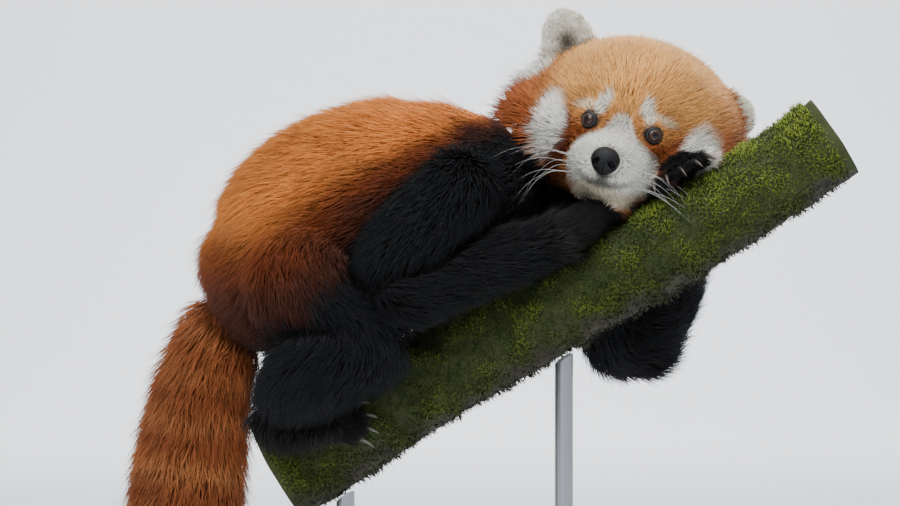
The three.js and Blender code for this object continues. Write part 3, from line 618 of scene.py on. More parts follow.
def head_colour(q, wobble):
    front = smoothstep(16, -12, q[:, 1])
    wide = np.abs(q[:, 0])
    edge = wide + 0.4 * np.maximum(-q[:, 2], 0) + 3 * wobble
    colour = mix(np.tile(TAN, (len(q), 1)), RUST, smoothstep(44, 74, edge))
    colour = mix(colour, DEEP_RUST * 1.5, smoothstep(64, 82, wide + 0.3 * np.maximum(q[:, 1], 0)) * 0.7)
    colour = mix(colour, DEEP_RUST * 1.3, smoothstep(-30, -50, q[:, 2]) * 0.6)
    colour = mix(colour, RUST, smoothstep(16, -8, q[:, 2]) * front * 0.55)
    colour = mix(colour, RUST, smoothstep(8, 42, q[:, 1]) * 0.75)
    jitter = q + wobble[:, None] * [1.4, 0, 1.4]
    colour = mix(colour, TEAR, oval(jitter, (38, -20), (7.5, 19), -6, 0.3) * front)
    colour = mix(colour, TEAR * 0.6, oval(jitter, (40, -30), (6.5, 13), 4, 0.4) * front)
    colour = mix(colour, RUST, oval(jitter, (24, -15), (11, 6), 10, 0.4) * front * 0.9)
    colour = mix(colour, BLACK, smoothstep(-52, -62, q[:, 2] + 0.1 * wide) * 0.9)
    # A dark patch low on the cheek that rests by the branch, on that side only, is painted shade.
    colour = mix(colour, BLACK, oval(jitter, (36, -41), (10, 11), 0, 0.3) * front * (q[:, 0] > 0))
    patch = jitter - np.outer(q[:, 0] < 0, [4.0, 0, 0])  # the free cheek shows more of its ruff
    colour = mix(colour, WHITE, oval(patch, (53, -13), (11, 22), 6, 0.25) * front)
    colour = mix(colour, WHITE, oval(jitter, (0, -31), (29, 20), 0, 0.16) * (q[:, 1] < -36))
    bridge_width = 4.5 + 0.42 * np.maximum(4 - q[:, 2], 0)
    bridge = (1 - smoothstep(0.75, 1.25, wide / bridge_width)) * smoothstep(7, 1, q[:, 2])
    colour = mix(colour, WHITE, bridge * (q[:, 1] < -36) * smoothstep(-50, -40, q[:, 2]))
    colour = mix(colour, WHITE, oval(jitter, (14.5, 9), (4.5, 9), 14, 0.35) * front * 0.85)
    colour = mix(colour, CREAM, oval(jitter, (26, 5), (8, 3), -8, 0.45) * front * 0.65)
    colour = mix(colour, CREAM, oval(jitter, (2, -52), (19, 7), 0, 0.3) * (q[:, 1] < -20))
    # The mouth line and the groove under the nose are darkened: dark lip skin together with painted shade in
    # these creases.
    lip_height = -44.5 + 0.016 * wide**2
    lips = 1 - smoothstep(0.8, 3.0, np.abs(q[:, 2] - lip_height))
    lips = lips * smoothstep(26, 6, wide) * (q[:, 1] < -40)
    colour = mix(colour, LIP_AND_CREASE_SHADE, lips * 0.75)
    below_nose = (1 - smoothstep(1, 8, wide)) * smoothstep(-47, -42, q[:, 2]) * smoothstep(-33, -38, q[:, 2])
    colour = mix(colour, LIP_AND_CREASE_SHADE * 0.7, below_nose * (q[:, 1] < -60) * 0.85)
    colour = mix(colour, WHITE, side_fringe(q))
    return mix(colour, BROWN_BLACK * 0.5, (1 - smoothstep(5.2, 7.0, near_eye(q))) * (q[:, 1] < -25))


def ear_colour(ear, e, wobble):
    inner = np.hypot((e[:, 0] - 0.5 * ear["side"]) / 10, (e[:, 2] - 1) / 10.5) + 0.15 * wobble
    shadow = (1 - smoothstep(0.15, 1.25, inner)) * (e[:, 1] < 4) * (1 if ear["side"] < 0 else 0.2)
    colour = mix(np.tile((WHITE + CREAM) / 2, (len(e), 1)), EAR_SHADOW, shadow)
    return mix(colour, RUST, smoothstep(-12, -19, e[:, 2]) * smoothstep(2, -6, np.abs(e[:, 0]) - 6) * 0.5)


# Where black begins on the body, seen from the side: x and z from the flank's low end up to the throat.
BLACK_EDGE = np.array(
    [
        (-190, 432),
        (-128, 437),
        (-96, 444),
        (-77, 457),
        (-67, 473),
        (-63, 489),
        (-48, 507),
        (-19, 528),
        (13, 553),
        (35, 569),
        (70, 584),
        (130, 610),
    ],
    float,
)


def into_black(points):
    """Distance in mm past the edge of the black, below 0 on the red side."""
    flat = points[:, [0, 2]]
    nearest = np.full(len(flat), 1e9)
    signed = np.zeros(len(flat))
    for start, end in zip(BLACK_EDGE[:-1], BLACK_EDGE[1:]):
        run = end - start
        share = np.clip((flat - start) @ run / (run @ run), 0, 1)
        away = flat - start - share[:, None] * run
        far = np.hypot(away[:, 0], away[:, 1])
        side = np.sign(run[1] * away[:, 0] - run[0] * away[:, 1])
        signed = np.where(far < nearest, side * far, signed)
        nearest = np.minimum(far, nearest)
    return signed


def body_colour(points, wobble):
    past = into_black(points) + 5 * wobble
    nape = smoothstep(54, 84, points[:, 1]) * smoothstep(500, 530, points[:, 2])
    past = past - 90 * nape  # behind, the red of the back runs on up to the head
    reach = np.clip(110 - 0.72 * (points[:, 2] - 450), 15, 110)  # the gold nears the black up on the back
    gold = smoothstep(0.4, 1.0, -past / reach + 0.1 * wobble)
    colour = mix(np.tile(FLANK, (len(points), 1)), GOLDEN, gold)
    colour = mix(colour, DEEP_RUST, smoothstep(-0.45, -0.08, past / reach))
    return mix(colour, BLACK, smoothstep(-8, 7, past))


TAIL_RINGS = 12


def tail_colour(along, wobble):
    wave = np.sin((along * TAIL_RINGS + 0.10 * wobble) * 2 * math.pi)
    strength = 0.25 + 0.35 * smoothstep(0.25, 0.6, along)
    colour = mix(np.tile(TAIL_RED, (len(along), 1)), BUFF, smoothstep(-0.3, 0.8, wave) * strength)
    colour = mix(colour, DEEP_RUST, smoothstep(0.3, -0.9, wave) * strength * 0.6)
    return mix(colour, BROWN_BLACK, smoothstep(0.93, 0.985, along))


def coat_colour(points, where):
    """The coat's linear colour at points of the skin, in world mm."""
    wobble = ripple(points)
    part = where["part"]
    colour = body_colour(points, wobble)
    # Legs, forearms and paws are painted darker than the body's black: painted shade low down under the
    # animal. The paws also carry their own brownish black.
    legs = np.isin(part, [i for n, i in PART.items() if n.startswith("foreleg") or n.endswith("shank")])
    colour = np.where(legs[:, None], BLACK * 0.7, colour)
    forearms = np.isin(part, [PART["foreleg_right_lower"], PART["foreleg_left_lower"]])
    colour = np.where(forearms[:, None], BLACK * 0.42, colour)
    paws = np.isin(part, [PART[n] for n in PAWS])
    colour = np.where(paws[:, None], BLACK * 0.3 + BROWN_BLACK * 0.25, colour)
    on_head = part == PART["head"]
    colour[on_head] = head_colour(where["head"][on_head], wobble[on_head])
    for name, ear in EARS.items():
        on_ear = part == PART[name]
        colour[on_ear] = ear_colour(ear, to_ear(ear, where["head"][on_ear]), wobble[on_ear])
    on_tail = part == PART["tail"]
    colour[on_tail] = tail_colour(where["along"][on_tail], wobble[on_tail])
    return colour


def paint(mesh, colours):
    layer = mesh.color_attributes.new("coat_colour", "FLOAT_COLOR", "POINT")
    opaque = np.column_stack([colours, np.ones(len(colours))])
    layer.data.foreach_set("color", opaque.astype(np.float32).ravel())


skin_points = vertex_rows(skin.data) / MM
skin_normals = vertex_rows(skin.data, "normal")
skin_where = locate(skin_points)
# The skin is painted at three quarters of the coat's colour: painted shade deep under the tufts.
paint(skin.data, coat_colour(skin_points, skin_where) * 0.75)
print("skin painted:", len(skin_points), "points")

# %% [markdown]
# ## Shader groups for hair
# The tufts carry their own colour. A shader group breaks it up with fine streaks and shifts it a little
# from lock to lock, and both the skin and the coat use it with their own values.


# %% Node helpers
def new_group(name, inputs, outputs):
    """An empty shader group with named sockets. Returns the group, its input and its output node."""
    group = bpy.data.node_groups.new(name, "ShaderNodeTree")
    for kind, label, value in inputs:
        socket = group.interface.new_socket(label, in_out="INPUT", socket_type="NodeSocket" + kind)
        if value is not None:
            socket.default_value = value
    for kind, label in outputs:
        group.interface.new_socket(label, in_out="OUTPUT", socket_type="NodeSocket" + kind)
    return group, group.nodes.new("NodeGroupInput"), group.nodes.new("NodeGroupOutput")


def put(tree, socket, value):
    """Gives an input its plain value, or links it where the value is another node's output."""
    if isinstance(value, bpy.types.NodeSocket):
        tree.links.new(value, socket)
    else:
        socket.default_value = value


def add(tree, kind, **settings):
    """A shader node with its settings and the values or links of its inputs."""
    node = tree.nodes.new("ShaderNode" + kind)
    for key, value in settings.items():
        if hasattr(node, key):
            setattr(node, key, value)
        else:
            put(tree, node.inputs[key.replace("_", " ")], value)
    return node


def work_out(tree, operation, *values):
    """The result of a sum on plain values and outputs."""
    node = add(tree, "Math", operation=operation)
    for socket, value in zip(node.inputs, values):
        put(tree, socket, value)
    return node.outputs[0]


def spread(tree, source, low, high):
    """A 0 to 1 output carried to the range low to high."""
    return add(tree, "MapRange", Value=source, To_Min=low, To_Max=high).outputs[0]


def ramp(tree, source, *stops):
    """The colour that an output picks from a ramp of (position, colour) stops."""
    node = add(tree, "ValToRGB", Fac=source)
    elements = node.color_ramp.elements
    for element, (place, tone) in zip(elements, (stops[0], stops[-1])):
        element.position, element.color = place, (*tone, 1)
    for place, tone in stops[1:-1]:
        elements.new(place).color = (*tone, 1)
    return node.outputs["Color"]


def blend(tree, share, low, high):
    """A colour between two, by an output."""
    node = add(tree, "Mix", data_type="RGBA")
    for index, value in ((0, share), (6, low), (7, high)):
        put(tree, node.inputs[index], value)
    return node.outputs[2]


def emboss(tree, shader, height, strength, distance):
    """Relief on a shader from a height output."""
    relief = add(tree, "Bump", Strength=strength, Distance=distance, Height=height)
    put(tree, shader.inputs["Normal"], relief.outputs["Normal"])


def new_material(name):
    material = bpy.data.materials.new(name)
    material.use_nodes = True
    return material, material.node_tree, material.node_tree.nodes["Principled BSDF"]


def wear_group(tree, shader, group, bump, depth, **values):
    """Uses a group's colour, roughness and height in a material."""
    node = tree.nodes.new("ShaderNodeGroup")
    node.node_tree = group
    for key, value in values.items():
        put(tree, node.inputs[key.replace("_", " ")], value)
    put(tree, shader.inputs["Base Color"], node.outputs["Colour"])
    put(tree, shader.inputs["Roughness"], node.outputs["Roughness"])
    if bump:
        emboss(tree, shader, node.outputs["Height"], bump, depth)


# %% Group: streaks and drift in hair
hair_group, hair_in, hair_out = new_group(
    "hair streaks",
    [("Color", "Colour", (0.5, 0.3, 0.1, 1)), ("Float", "Streak Scale", 900.0), ("Float", "Contrast", 0.3)],
    [("Color", "Colour"), ("Float", "Roughness"), ("Float", "Height")],
)
place = add(hair_group, "TexCoord").outputs["Object"]
streak_scale = hair_in.outputs["Streak Scale"]
streak = add(hair_group, "TexNoise", Detail=2.0, Roughness=0.6, Vector=place, Scale=streak_scale)
streak = streak.outputs["Fac"]
drift = add(hair_group, "TexNoise", Scale=34.0, Detail=3.0, Vector=place).outputs["Fac"]
centred = work_out(hair_group, "SUBTRACT", work_out(hair_group, "ADD", streak, drift), 1.0)
gain = work_out(hair_group, "MULTIPLY_ADD", centred, hair_in.outputs["Contrast"], 1.0)
shade = add(hair_group, "VectorMath", operation="SCALE", Vector=hair_in.outputs["Colour"], Scale=gain)
put(hair_group, hair_out.inputs["Colour"], shade.outputs[0])
put(hair_group, hair_out.inputs["Roughness"], spread(hair_group, streak, 0.45, 0.75))
put(hair_group, hair_out.inputs["Height"], streak)


def hair_material(name, scale, contrast, bump):
    material, tree, shader = new_material(name)
    colour = add(tree, "Attribute", attribute_name="coat_colour").outputs["Color"]
    wear_group(tree, shader, hair_group, bump, 0.001, Colour=colour, Streak_Scale=scale, Contrast=contrast)
    shader.inputs["Specular IOR Level"].default_value = 0.25
    return material


coat_material = hair_material("coat hair", 700.0, 0.45, 0)
under_material = hair_material("undercoat", 420.0, 0.6, 0.5)
skin.data.materials.append(under_material)
print("hair materials ready")

# %% [markdown]
# ## Tufts
# A tuft is the smallest closed solid that can bend: a point at the root, a three-sided waist and a point
# at the tip, six triangles in all. It leaves the skin at an angle, bends over along the lie of the hair
# and ends a little lighter. All tufts of a piece are worked out at once as arrays, which takes a second
# where a loop would take minutes.

# %% Sow roots on the skin
skin.data.calc_loop_triangles()
triangles = np.empty(len(skin.data.loop_triangles) * 3, np.int32)
skin.data.loop_triangles.foreach_get("vertices", triangles)
triangles = triangles.reshape(-1, 3)


def part_is(where, *starts):
    """True for points whose part's name begins with one of the given words."""
    return np.isin(where["part"], [i for name, i in PART.items() if name.startswith(starts)])


def coat_length(where):
    """Length of the hair in mm at places on the skin."""
    q = where["head"]
    length = np.full(len(where["part"]), 24.0)
    length = np.where(part_is(where, "foreleg", "hindleg"), 22, length)
    length = np.where(part_is(where, "forepaw", "hindpaw"), 9, length)
    length = np.where(part_is(where, "tail"), 30 - 6 * smoothstep(0.12, 0.0, where["along"]), length)
    low_ruff = ruff_share(q) * smoothstep(4, -14, q[:, 2]) * (q[:, 0] < 0)
    on_head = 13 + 10 * ruff_share(q) + 6 * low_ruff - 7.5 * face_shortness(q) + 9 * side_fringe(q)
    on_head = on_head + 6 * smoothstep(10, 45, q[:, 1])
    length = length * (1 - 0.55 * by_cheek(q))
    length = np.where(part_is(where, "head"), on_head, length)
    for name, ear in EARS.items():
        fringe = ear_fringe(ear, to_ear(ear, q))
        length = np.where(where["part"] == PART[name], 5.5 + 15 * fringe, length)
    return length


def sow(count, seed):
    """Roots spread over the skin, denser where the coat is short."""
    draw = np.random.default_rng(seed)
    corner = skin_points[triangles]
    area = np.linalg.norm(np.cross(corner[:, 1] - corner[:, 0], corner[:, 2] - corner[:, 0]), axis=1) / 2
    density = 1 / (3 + coat_length(skin_where)[triangles].mean(axis=1))
    part = skin_where["part"][triangles[:, 0]]
    density = density * np.where(part == PART["head"], 1.5, 1.0) * np.where(part == PART["tail"], 0.9, 1.0)
    density = density * np.where(part > PART["head"], 2.2, 1.0)
    chance = area * density
    pick = draw.choice(len(triangles), size=count, p=chance / chance.sum())
    share = draw.dirichlet([1, 1, 1], size=count)[:, :, None]
    roots = (corner[pick] * share).sum(axis=1)
    normals = unit((skin_normals[triangles[pick]] * share).sum(axis=1))
    return roots, normals, draw


# %% Make tufts from roots
WAIST = 0.42  # where along a tuft it is widest


def tuft_mesh(name, tufts, material):
    """One mesh of closed tufts. Each value of tufts has one row per tuft, lengths in mm."""
    root, normal, length = tufts["root"], tufts["normal"], tufts["length"]
    lie = tufts["lie"]
    tangent = unit(lie - normal * (lie * normal).sum(axis=1)[:, None])
    side = np.cross(tangent, normal)

    def middle(s):
        forward = tangent * (length * s * np.cos(tufts["lift"]))[:, None]
        rise = normal * (length * np.sin(tufts["lift"]) * (s - tufts["droop"] * s * s))[:, None]
        return root + forward + rise + side * (tufts["bend"] * length * s * s)[:, None]

    half = (tufts["width"] * 0.5)[:, None]
    waist = middle(WAIST)
    over = waist + normal * half * 0.8
    rings = [root - normal * 0.4, waist + side * half, over, waist - side * half, middle(1.0)]
    points = np.stack(rings, axis=1)
    # Along each tuft the colour runs from painted shade at the root, deep in the coat, to a lighter tip.
    root_shade_to_tip = np.array([0.5, 0.88, 0.88, 0.88, 1.2])
    faces = np.array([(0, 1, 2), (0, 2, 3), (0, 3, 1), (4, 2, 1), (4, 3, 2), (4, 1, 3)])
    made, mesh, loops = many_solids(name, points, faces)
    mesh.polygons.foreach_set("use_smooth", np.ones(len(mesh.polygons), bool))
    mesh.update(calc_edges=True)
    tones = tufts["colour"][:, None, :] * root_shade_to_tip[None, :, None]
    paint(mesh, np.clip(tones, 0, 1).reshape(-1, 3))
    patch = np.array([(0.5, 0), (0, 0.4), (0.5, 0.5), (1, 0.4), (0.5, 1)]) * 0.003
    layer = mesh.uv_layers.new(name="OFBake")
    spread = (tufts["uv"][:, None, :] + patch[None]).reshape(-1, 2)
    layer.data.foreach_set("uv", spread[loops].astype(np.float32).ravel())
    mesh.materials.append(material)
    return made


def unwrap_place(where):
    """A place for each root on an unwrap of the skin: each part has a cell, along it and round it."""
    cells = 5
    part = where["part"]
    cell = np.stack([part % cells, part // cells], axis=1) / cells
    inside = np.stack([where["round"], where["along"]], axis=1)
    return cell + np.clip(inside, 0, 1) * (1 / cells - 0.02) + 0.008


# %% [markdown]
# ## Which hair stands where
# Round the eyes and on the nose there is none. On the muzzle it is a few millimetres long and lies flat,
# on the cheeks it fans out into the ruff, and on the tail it stands well off, which makes the brush.

# %% Lay the coat
COAT_PIECES = 8
TUFTS = 236000
GUARD_SHARE = 0.12  # the hairs that are thinner and longer and stand off further, and soften the outline


def bare(q):
    """True where no hair grows: on the eyes and under the nose pad."""
    on_eye = (near_eye(q) < 5.0) & (q[:, 1] < -25)
    on_nose = (np.hypot(q[:, 0] / 8.6, (q[:, 2] - NOSE_SPOT[2]) / 8) < 1) & (q[:, 1] < -60)
    return on_eye | on_nose


def grow_coat(count, seed):
    """All tufts of the coat, as a table of arrays."""
    root, normal, draw = sow(count, seed)
    where = locate(root)
    keep = ~bare(where["head"])
    root, normal = root[keep], normal[keep]
    where = {key: value[keep] for key, value in where.items()}
    count = len(root)
    on_head, on_tail = part_is(where, "head"), part_is(where, "tail")
    small = part_is(where, "forepaw", "hindpaw")
    on_ear = part_is(where, "ear")
    ruff = ruff_share(where["head"]) * on_head
    guard = draw.random(count) < GUARD_SHARE
    length = coat_length(where) * draw.uniform(0.72, 1.18, count) * np.where(guard, 1.2, 1.0)
    width = np.select([on_head, on_tail, small, on_ear], [0.52 + 0.2 * ruff, 0.85, 0.55, 0.4], 0.8)
    width = width * draw.uniform(0.75, 1.25, count) * np.where(guard, 0.6, 1.0)
    lift = np.select([on_head, on_tail, on_ear], [29 + 31 * ruff, 36, 20], 27 - 14 * by_cheek(where["head"]))
    lift = np.radians(lift + draw.normal(0, 6, count) + 14 * guard)
    sway = np.stack([ripple(root + 90 * (i + 1)) for i in range(3)], axis=1)
    loose = np.where(on_head, 0.10, 0.2)[:, None]
    hang = np.where(part_is(where, "foreleg", "hindleg"), 0.3, 0.12)
    lie = unit(where["flow"] + sway * loose + draw.normal(0, 0.09, root.shape) + np.outer(hang, [0, 0, -1]))
    seen = root + unit(lie - normal * (lie * normal).sum(axis=1)[:, None]) * (0.55 * length)[:, None]
    there = locate(seen)
    # The ruff keeps its own colours where it lies over the neck.
    there["part"] = np.where(on_head, where["part"], there["part"])
    colour = coat_colour(seen, there)
    colour = mix(colour, WHITE, side_fringe(where["head"]) * on_head)
    clump = 1 + 0.10 * ripple(root * 1.4 + 300)
    colour = colour * (clump * draw.normal(1, 0.13, count).clip(0.6, 1.5))[:, None]
    colour = colour * (1 + draw.normal(0, 0.02, colour.shape))
    bend = draw.normal(0, 0.10, count)
    droop = 0.42 - 0.2 * ruff
    uv = unwrap_place(where)
    order = np.argsort(where["part"] + 0.5 * draw.random(count))
    table = dict(root=root, normal=normal, lie=lie, length=length, width=width, lift=lift)
    table.update(bend=bend, droop=droop, colour=colour, uv=uv)
    return {key: value[order] for key, value in table.items()}


tufts = grow_coat(TUFTS, seed=3)
coat = []
for i, rows in enumerate(np.array_split(np.arange(len(tufts["root"])), COAT_PIECES)):
    piece = tuft_mesh(f"coat_{i + 1}", {key: value[rows] for key, value in tufts.items()}, coat_material)
    coat.append(piece)
print("coat pieces:", [len(p.data.polygons) for p in coat])

# %% [markdown]
# ## Eyes
# The eyes are small, round and brown, with a wide pupil, and dark bare lids frame them. The ball is one
# closed mesh with a slight bulge for the cornea. Iris and pupil are rings of colour round its own axis.

# %% Eyeballs and lids
EYE_TURN = 22


def eye_frame(side):
    """Centre of an eyeball in the head's frame, and a turn that takes -Y to its looking direction."""
    return EYE_SPOT * [side, 1, 1], np.array(Matrix.Rotation(math.radians(side * EYE_TURN), 3, "Z"))


eye_material, tree, shader = new_material("eye")
IRIS = [
    (0.0, (0.003, 0.002, 0.002)),
    (0.20, (0.003, 0.002, 0.002)),
    (0.26, (0.040, 0.017, 0.009)),
    (0.43, (0.062, 0.028, 0.016)),
    (0.53, (0.010, 0.006, 0.005)),
    (1.0, (0.01, 0.006, 0.005)),
]
from_middle = add(tree, "Attribute", attribute_name="iris_place").outputs["Fac"]
put(tree, shader.inputs["Base Color"], ramp(tree, from_middle, *IRIS))
shader.inputs["Roughness"].default_value = 0.25
shader.inputs["Coat Weight"].default_value = 1.0
shader.inputs["Coat Roughness"].default_value = 0.03
shader.inputs["Specular IOR Level"].default_value = 0.1
shader.inputs["Coat IOR"].default_value = 1.35

ball, faces = icosphere(5)
for side, name in ((-1, "eye_right"), (1, "eye_left")):
    centre, turn = eye_frame(side)
    off_axis = np.degrees(np.arccos(np.clip(-ball[:, 1], -1, 1)))
    bulge = 1 + 0.05 * (1 - smoothstep(20, 46, off_axis))
    shaped = (ball * (EYE_RADIUS * bulge)[:, None]) @ turn.T + centre + [0, 0.5, 0]
    eye = mesh_object(name + "_ball", from_head(shaped), faces)
    layer = eye.data.attributes.new("iris_place", "FLOAT", "POINT")
    streaks = 0.02 * np.sin(np.arctan2(ball[:, 0], ball[:, 2]) * 37)
    layer.data.foreach_set("value", np.clip(off_axis / 62 + streaks, 0, 1).astype(np.float32))
    eye.data.materials.append(eye_material)
    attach(eye, "root")
    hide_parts(name)

leather_group, leather_in, leather_out = new_group(
    "leather grain",
    [("Color", "Colour", (0.02, 0.02, 0.02, 1)), ("Float", "Grain Scale", 1500.0)],
    [("Color", "Colour"), ("Float", "Roughness"), ("Float", "Height")],
)
place = add(leather_group, "TexCoord").outputs["Object"]
cells = add(leather_group, "TexVoronoi", Vector=place, Scale=leather_in.outputs["Grain Scale"])
wear = add(leather_group, "TexNoise", Scale=160.0, Detail=4.0, Vector=place).outputs["Fac"]
light = spread(leather_group, wear, 0.6, 1.5)
tone = add(leather_group, "VectorMath", operation="SCALE", Vector=leather_in.outputs["Colour"], Scale=light)
put(leather_group, leather_out.inputs["Colour"], tone.outputs[0])
put(leather_group, leather_out.inputs["Roughness"], spread(leather_group, wear, 0.32, 0.58))
put(leather_group, leather_out.inputs["Height"], cells.outputs["Distance"])


def leather_material(name, colour, grain, bump):
    material, tree, shader = new_material(name)
    wear_group(tree, shader, leather_group, bump, 0.0006, Colour=colour, Grain_Scale=grain)
    return material


lid_material = leather_material("lid skin", (0.012, 0.010, 0.010, 1), 1800.0, 0.3)
for side, name in ((-1, "lids_right"), (1, "lids_left")):
    centre, turn = eye_frame(side)
    rings = []
    for a in np.linspace(0, 2 * math.pi, 48, endpoint=False):
        middle = np.array([5.1 * math.cos(a), -5.45 + 0.3 * math.cos(a) ** 2, 4.7 * math.sin(a)])
        outward = np.array([math.cos(a), 0.35, math.sin(a)])
        thick = 0.65 + 0.35 * max(math.sin(a), 0)
        ring = []
        for b in np.linspace(0, 2 * math.pi, 12, endpoint=False):
            ring.append(middle + outward * thick * math.cos(b) + np.array([0, -thick, 0]) * math.sin(b))
        rings.append(np.array(ring) @ turn.T + centre)
    points = from_head(np.concatenate(rings))
    grid = np.arange(len(points)).reshape(len(rings), -1)
    turned = np.roll(grid, -1, axis=0)
    corners = (grid, np.roll(grid, -1, axis=1), np.roll(turned, -1, axis=1), turned)
    quads = [tuple(map(int, quad)) for quad in np.stack(corners, axis=2).reshape(-1, 4)]
    lids = mesh_object(name, points, quads)
    lids.data.materials.append(lid_material)
    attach(lids, "root")
print("eyes and lids made")

# %% [markdown]
# ## Nose
# The nose pad is bare, black and finely pebbled, broad above and narrow below, with a comma-shaped
# nostril on each side and a groove down its middle. It is a ball whose surface is pushed about.

# %% Nose pad
NOSE_HALF = np.array([9.8, 8.0, 9.3])
ball, faces = icosphere(6)
narrow = 0.8 + 0.2 * np.minimum(1, (ball[:, 2] + 1) / 1.2)
pad = ball * NOSE_HALF * np.stack([narrow, np.ones(len(ball)), np.ones(len(ball))], axis=1)
front = ball[:, 1] < 0
for side in (-1, 1):
    spot = np.hypot((pad[:, 0] - side * 5.2) / 2.4, (pad[:, 2] + 1.4 + 0.5 * (side * pad[:, 0] - 5.2)) / 2.2)
    pad[:, 1] += front * 4.0 * (1 - smoothstep(0.35, 1.15, spot))
    slit = np.hypot((pad[:, 0] - side * 8.0) / 2.6, (pad[:, 2] + 3.6) / 1.0)
    pad[:, 1] += front * 1.6 * (1 - smoothstep(0.3, 1.2, slit))
groove = (1 - smoothstep(0.3, 1.3, np.abs(pad[:, 0]))) * smoothstep(1, -4, pad[:, 2])
pad[:, 1] += front * 0.9 * groove
nose = mesh_object("nose_pad", from_head(pad + NOSE_SPOT), faces)
nose_material = leather_material("nose leather", (0.0045, 0.0045, 0.005, 1), 1300.0, 0.5)
nose_material.node_tree.nodes["Principled BSDF"].inputs["Specular IOR Level"].default_value = 0.22
nose.data.materials.append(nose_material)
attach(nose, "root")
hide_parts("nose")
print("nose made")

# %% [markdown]
# ## Whiskers
# Whiskers are stiff, white and much longer than the coat. Each is a thin tapering tube along a curve
# that leaves the muzzle sideways and droops.

# %% Whiskers
whisker_material, tree, shader = new_material("whisker")
shader.inputs["Roughness"].default_value = 0.35
fibre = add(tree, "TexNoise", Scale=300.0).outputs["Fac"]
put(tree, shader.inputs["Base Color"], ramp(tree, fibre, (0, (0.5, 0.48, 0.44)), (1, (0.8, 0.8, 0.77))))


def strand(path, radius, sides=5):
    """Rings of a thin tube that tapers to its end."""
    path = smooth_rows(path, 14)
    along = unit(np.gradient(path, axis=0))
    across = unit(np.cross(along, np.array([0.2, 1.0, 0.1])))
    above = np.cross(across, along)
    angles = np.linspace(0, 2 * math.pi, sides, endpoint=False)[:, None]
    rings = []
    for i, centre in enumerate(path):
        size = radius * (1 - 0.93 * i / (len(path) - 1))
        rings.append(centre + (across[i] * np.cos(angles) + above[i] * np.sin(angles)) * size)
    return rings


draw = np.random.default_rng(21)
DOWN = to_head(HEAD_CENTRE + np.array([[0, 0, -1.0]]))[0]
strands = []
for side in (-1, 1):
    for row in range(3):
        for k in range(3):
            root = np.array([side * (20 + 4 * k), -68 + 5 * k, -31 - 5.0 * row + draw.normal(0, 0.7)])
            reach = draw.uniform(30, 62) if side < 0 else draw.uniform(24, 42)
            fall = draw.uniform(22, 38) if side < 0 else draw.uniform(6, 20)
            out = np.array([side, -0.14 + 0.08 * k + draw.normal(0, 0.08), 0.16 - 0.08 * row])
            path = [root + out * reach * t + DOWN * fall * t**2.2 for t in (0, 0.35, 0.7, 1)]
            strands.append(strand(path, 0.14))
points, faces = lofts(strands)
whiskers = mesh_object("whiskers", from_head(points), faces)
whiskers.data.materials.append(whisker_material)
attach(whiskers, "root")
print("whiskers made")

# %% [markdown]
# ## Claws
# The claws are half drawn in, of dark horn, thick at the root and hooked. All five of a paw are one mesh.

# %% Claws
claw_material, tree, shader = new_material("claw horn")
horn = add(tree, "TexNoise", Scale=420.0, Detail=3.0).outputs["Fac"]
HORN = ((0, (0.045, 0.038, 0.030)), (1, (0.15, 0.128, 0.10)))
put(tree, shader.inputs["Base Color"], ramp(tree, horn, *HORN))
shader.inputs["Roughness"].default_value = 0.35
shader.inputs["Coat Weight"].default_value = 0.1
CLAW_LENGTH = 13
CLAW_BEND = math.radians(50)
for name in PAWS:
    hooks = []
    for toe in CHAINS[name]["toes"]:
        rings = []
        for s in np.linspace(0, 1, 12):
            angle = s * CLAW_BEND
            centre = toe["tip"] + toe["ahead"] * (2 + CLAW_LENGTH * math.sin(angle) / CLAW_BEND)
            centre = centre + toe["above"] * (1.5 - CLAW_LENGTH * (1 - math.cos(angle)) / CLAW_BEND)
            along = toe["ahead"] * math.cos(angle) - toe["above"] * math.sin(angle)
            across = unit(np.cross(along, toe["above"]))
            over = np.cross(across, along)
            radius = 1.75 * (1 - s) ** 0.75 + 0.12
            turns = np.linspace(0, 2 * math.pi, 12, endpoint=False)[:, None]
            rings.append(centre + across * np.cos(turns) * radius * 0.65 + over * np.sin(turns) * radius)
        hooks.append(rings)
    claws = mesh_object(name + "_claws", *lofts(hooks))
    claws.data.materials.append(claw_material)
    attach(claws, "root")
    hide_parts(*[f"{name}_claw_{i}" for i in range(1, 6)])
print("claws made")

# %% [markdown]
# ## The branch
# The perch is a cut length of an old, mossy limb. Its bark is a tube with furrows and lumps, and both
# ends are sawn. Moss covers the top and the near side as thousands of tiny spikes in cushions, and thins
# out below, where grey-brown bark shows.

# %% Bark
BRANCH_LINE = [(-112, 3, 346), (-60, 0, 376), (20, -2, 423), (95, 0, 467), (165, 1, 506), (250, 0, 562)]
BRANCH_RADIUS = 31
BRANCH_ROWS = 210
BRANCH_SIDES = 116
line = smooth_rows(BRANCH_LINE, BRANCH_ROWS)
along = unit(np.gradient(line, axis=0))
across = unit(np.cross(along, np.array([0, 0, 1.0])))
above = np.cross(across, along)
share = np.linspace(0, 1, BRANCH_ROWS)[:, None]
angle = np.linspace(0, 2 * math.pi, BRANCH_SIDES, endpoint=False)[None]
radius = BRANCH_RADIUS + 7 * (1 - share) ** 3
radius = radius + 0.9 * np.sin(3 * angle + 9 * share) + 0.6 * np.sin(5 * angle - 23 * share)


def rough(points, scale, octaves=3):
    """Fractal noise at points in mm, about -1 to 1."""
    return np.array([noise.fractal(Vector(p / scale), 1.0, 2.1, octaves) for p in points])


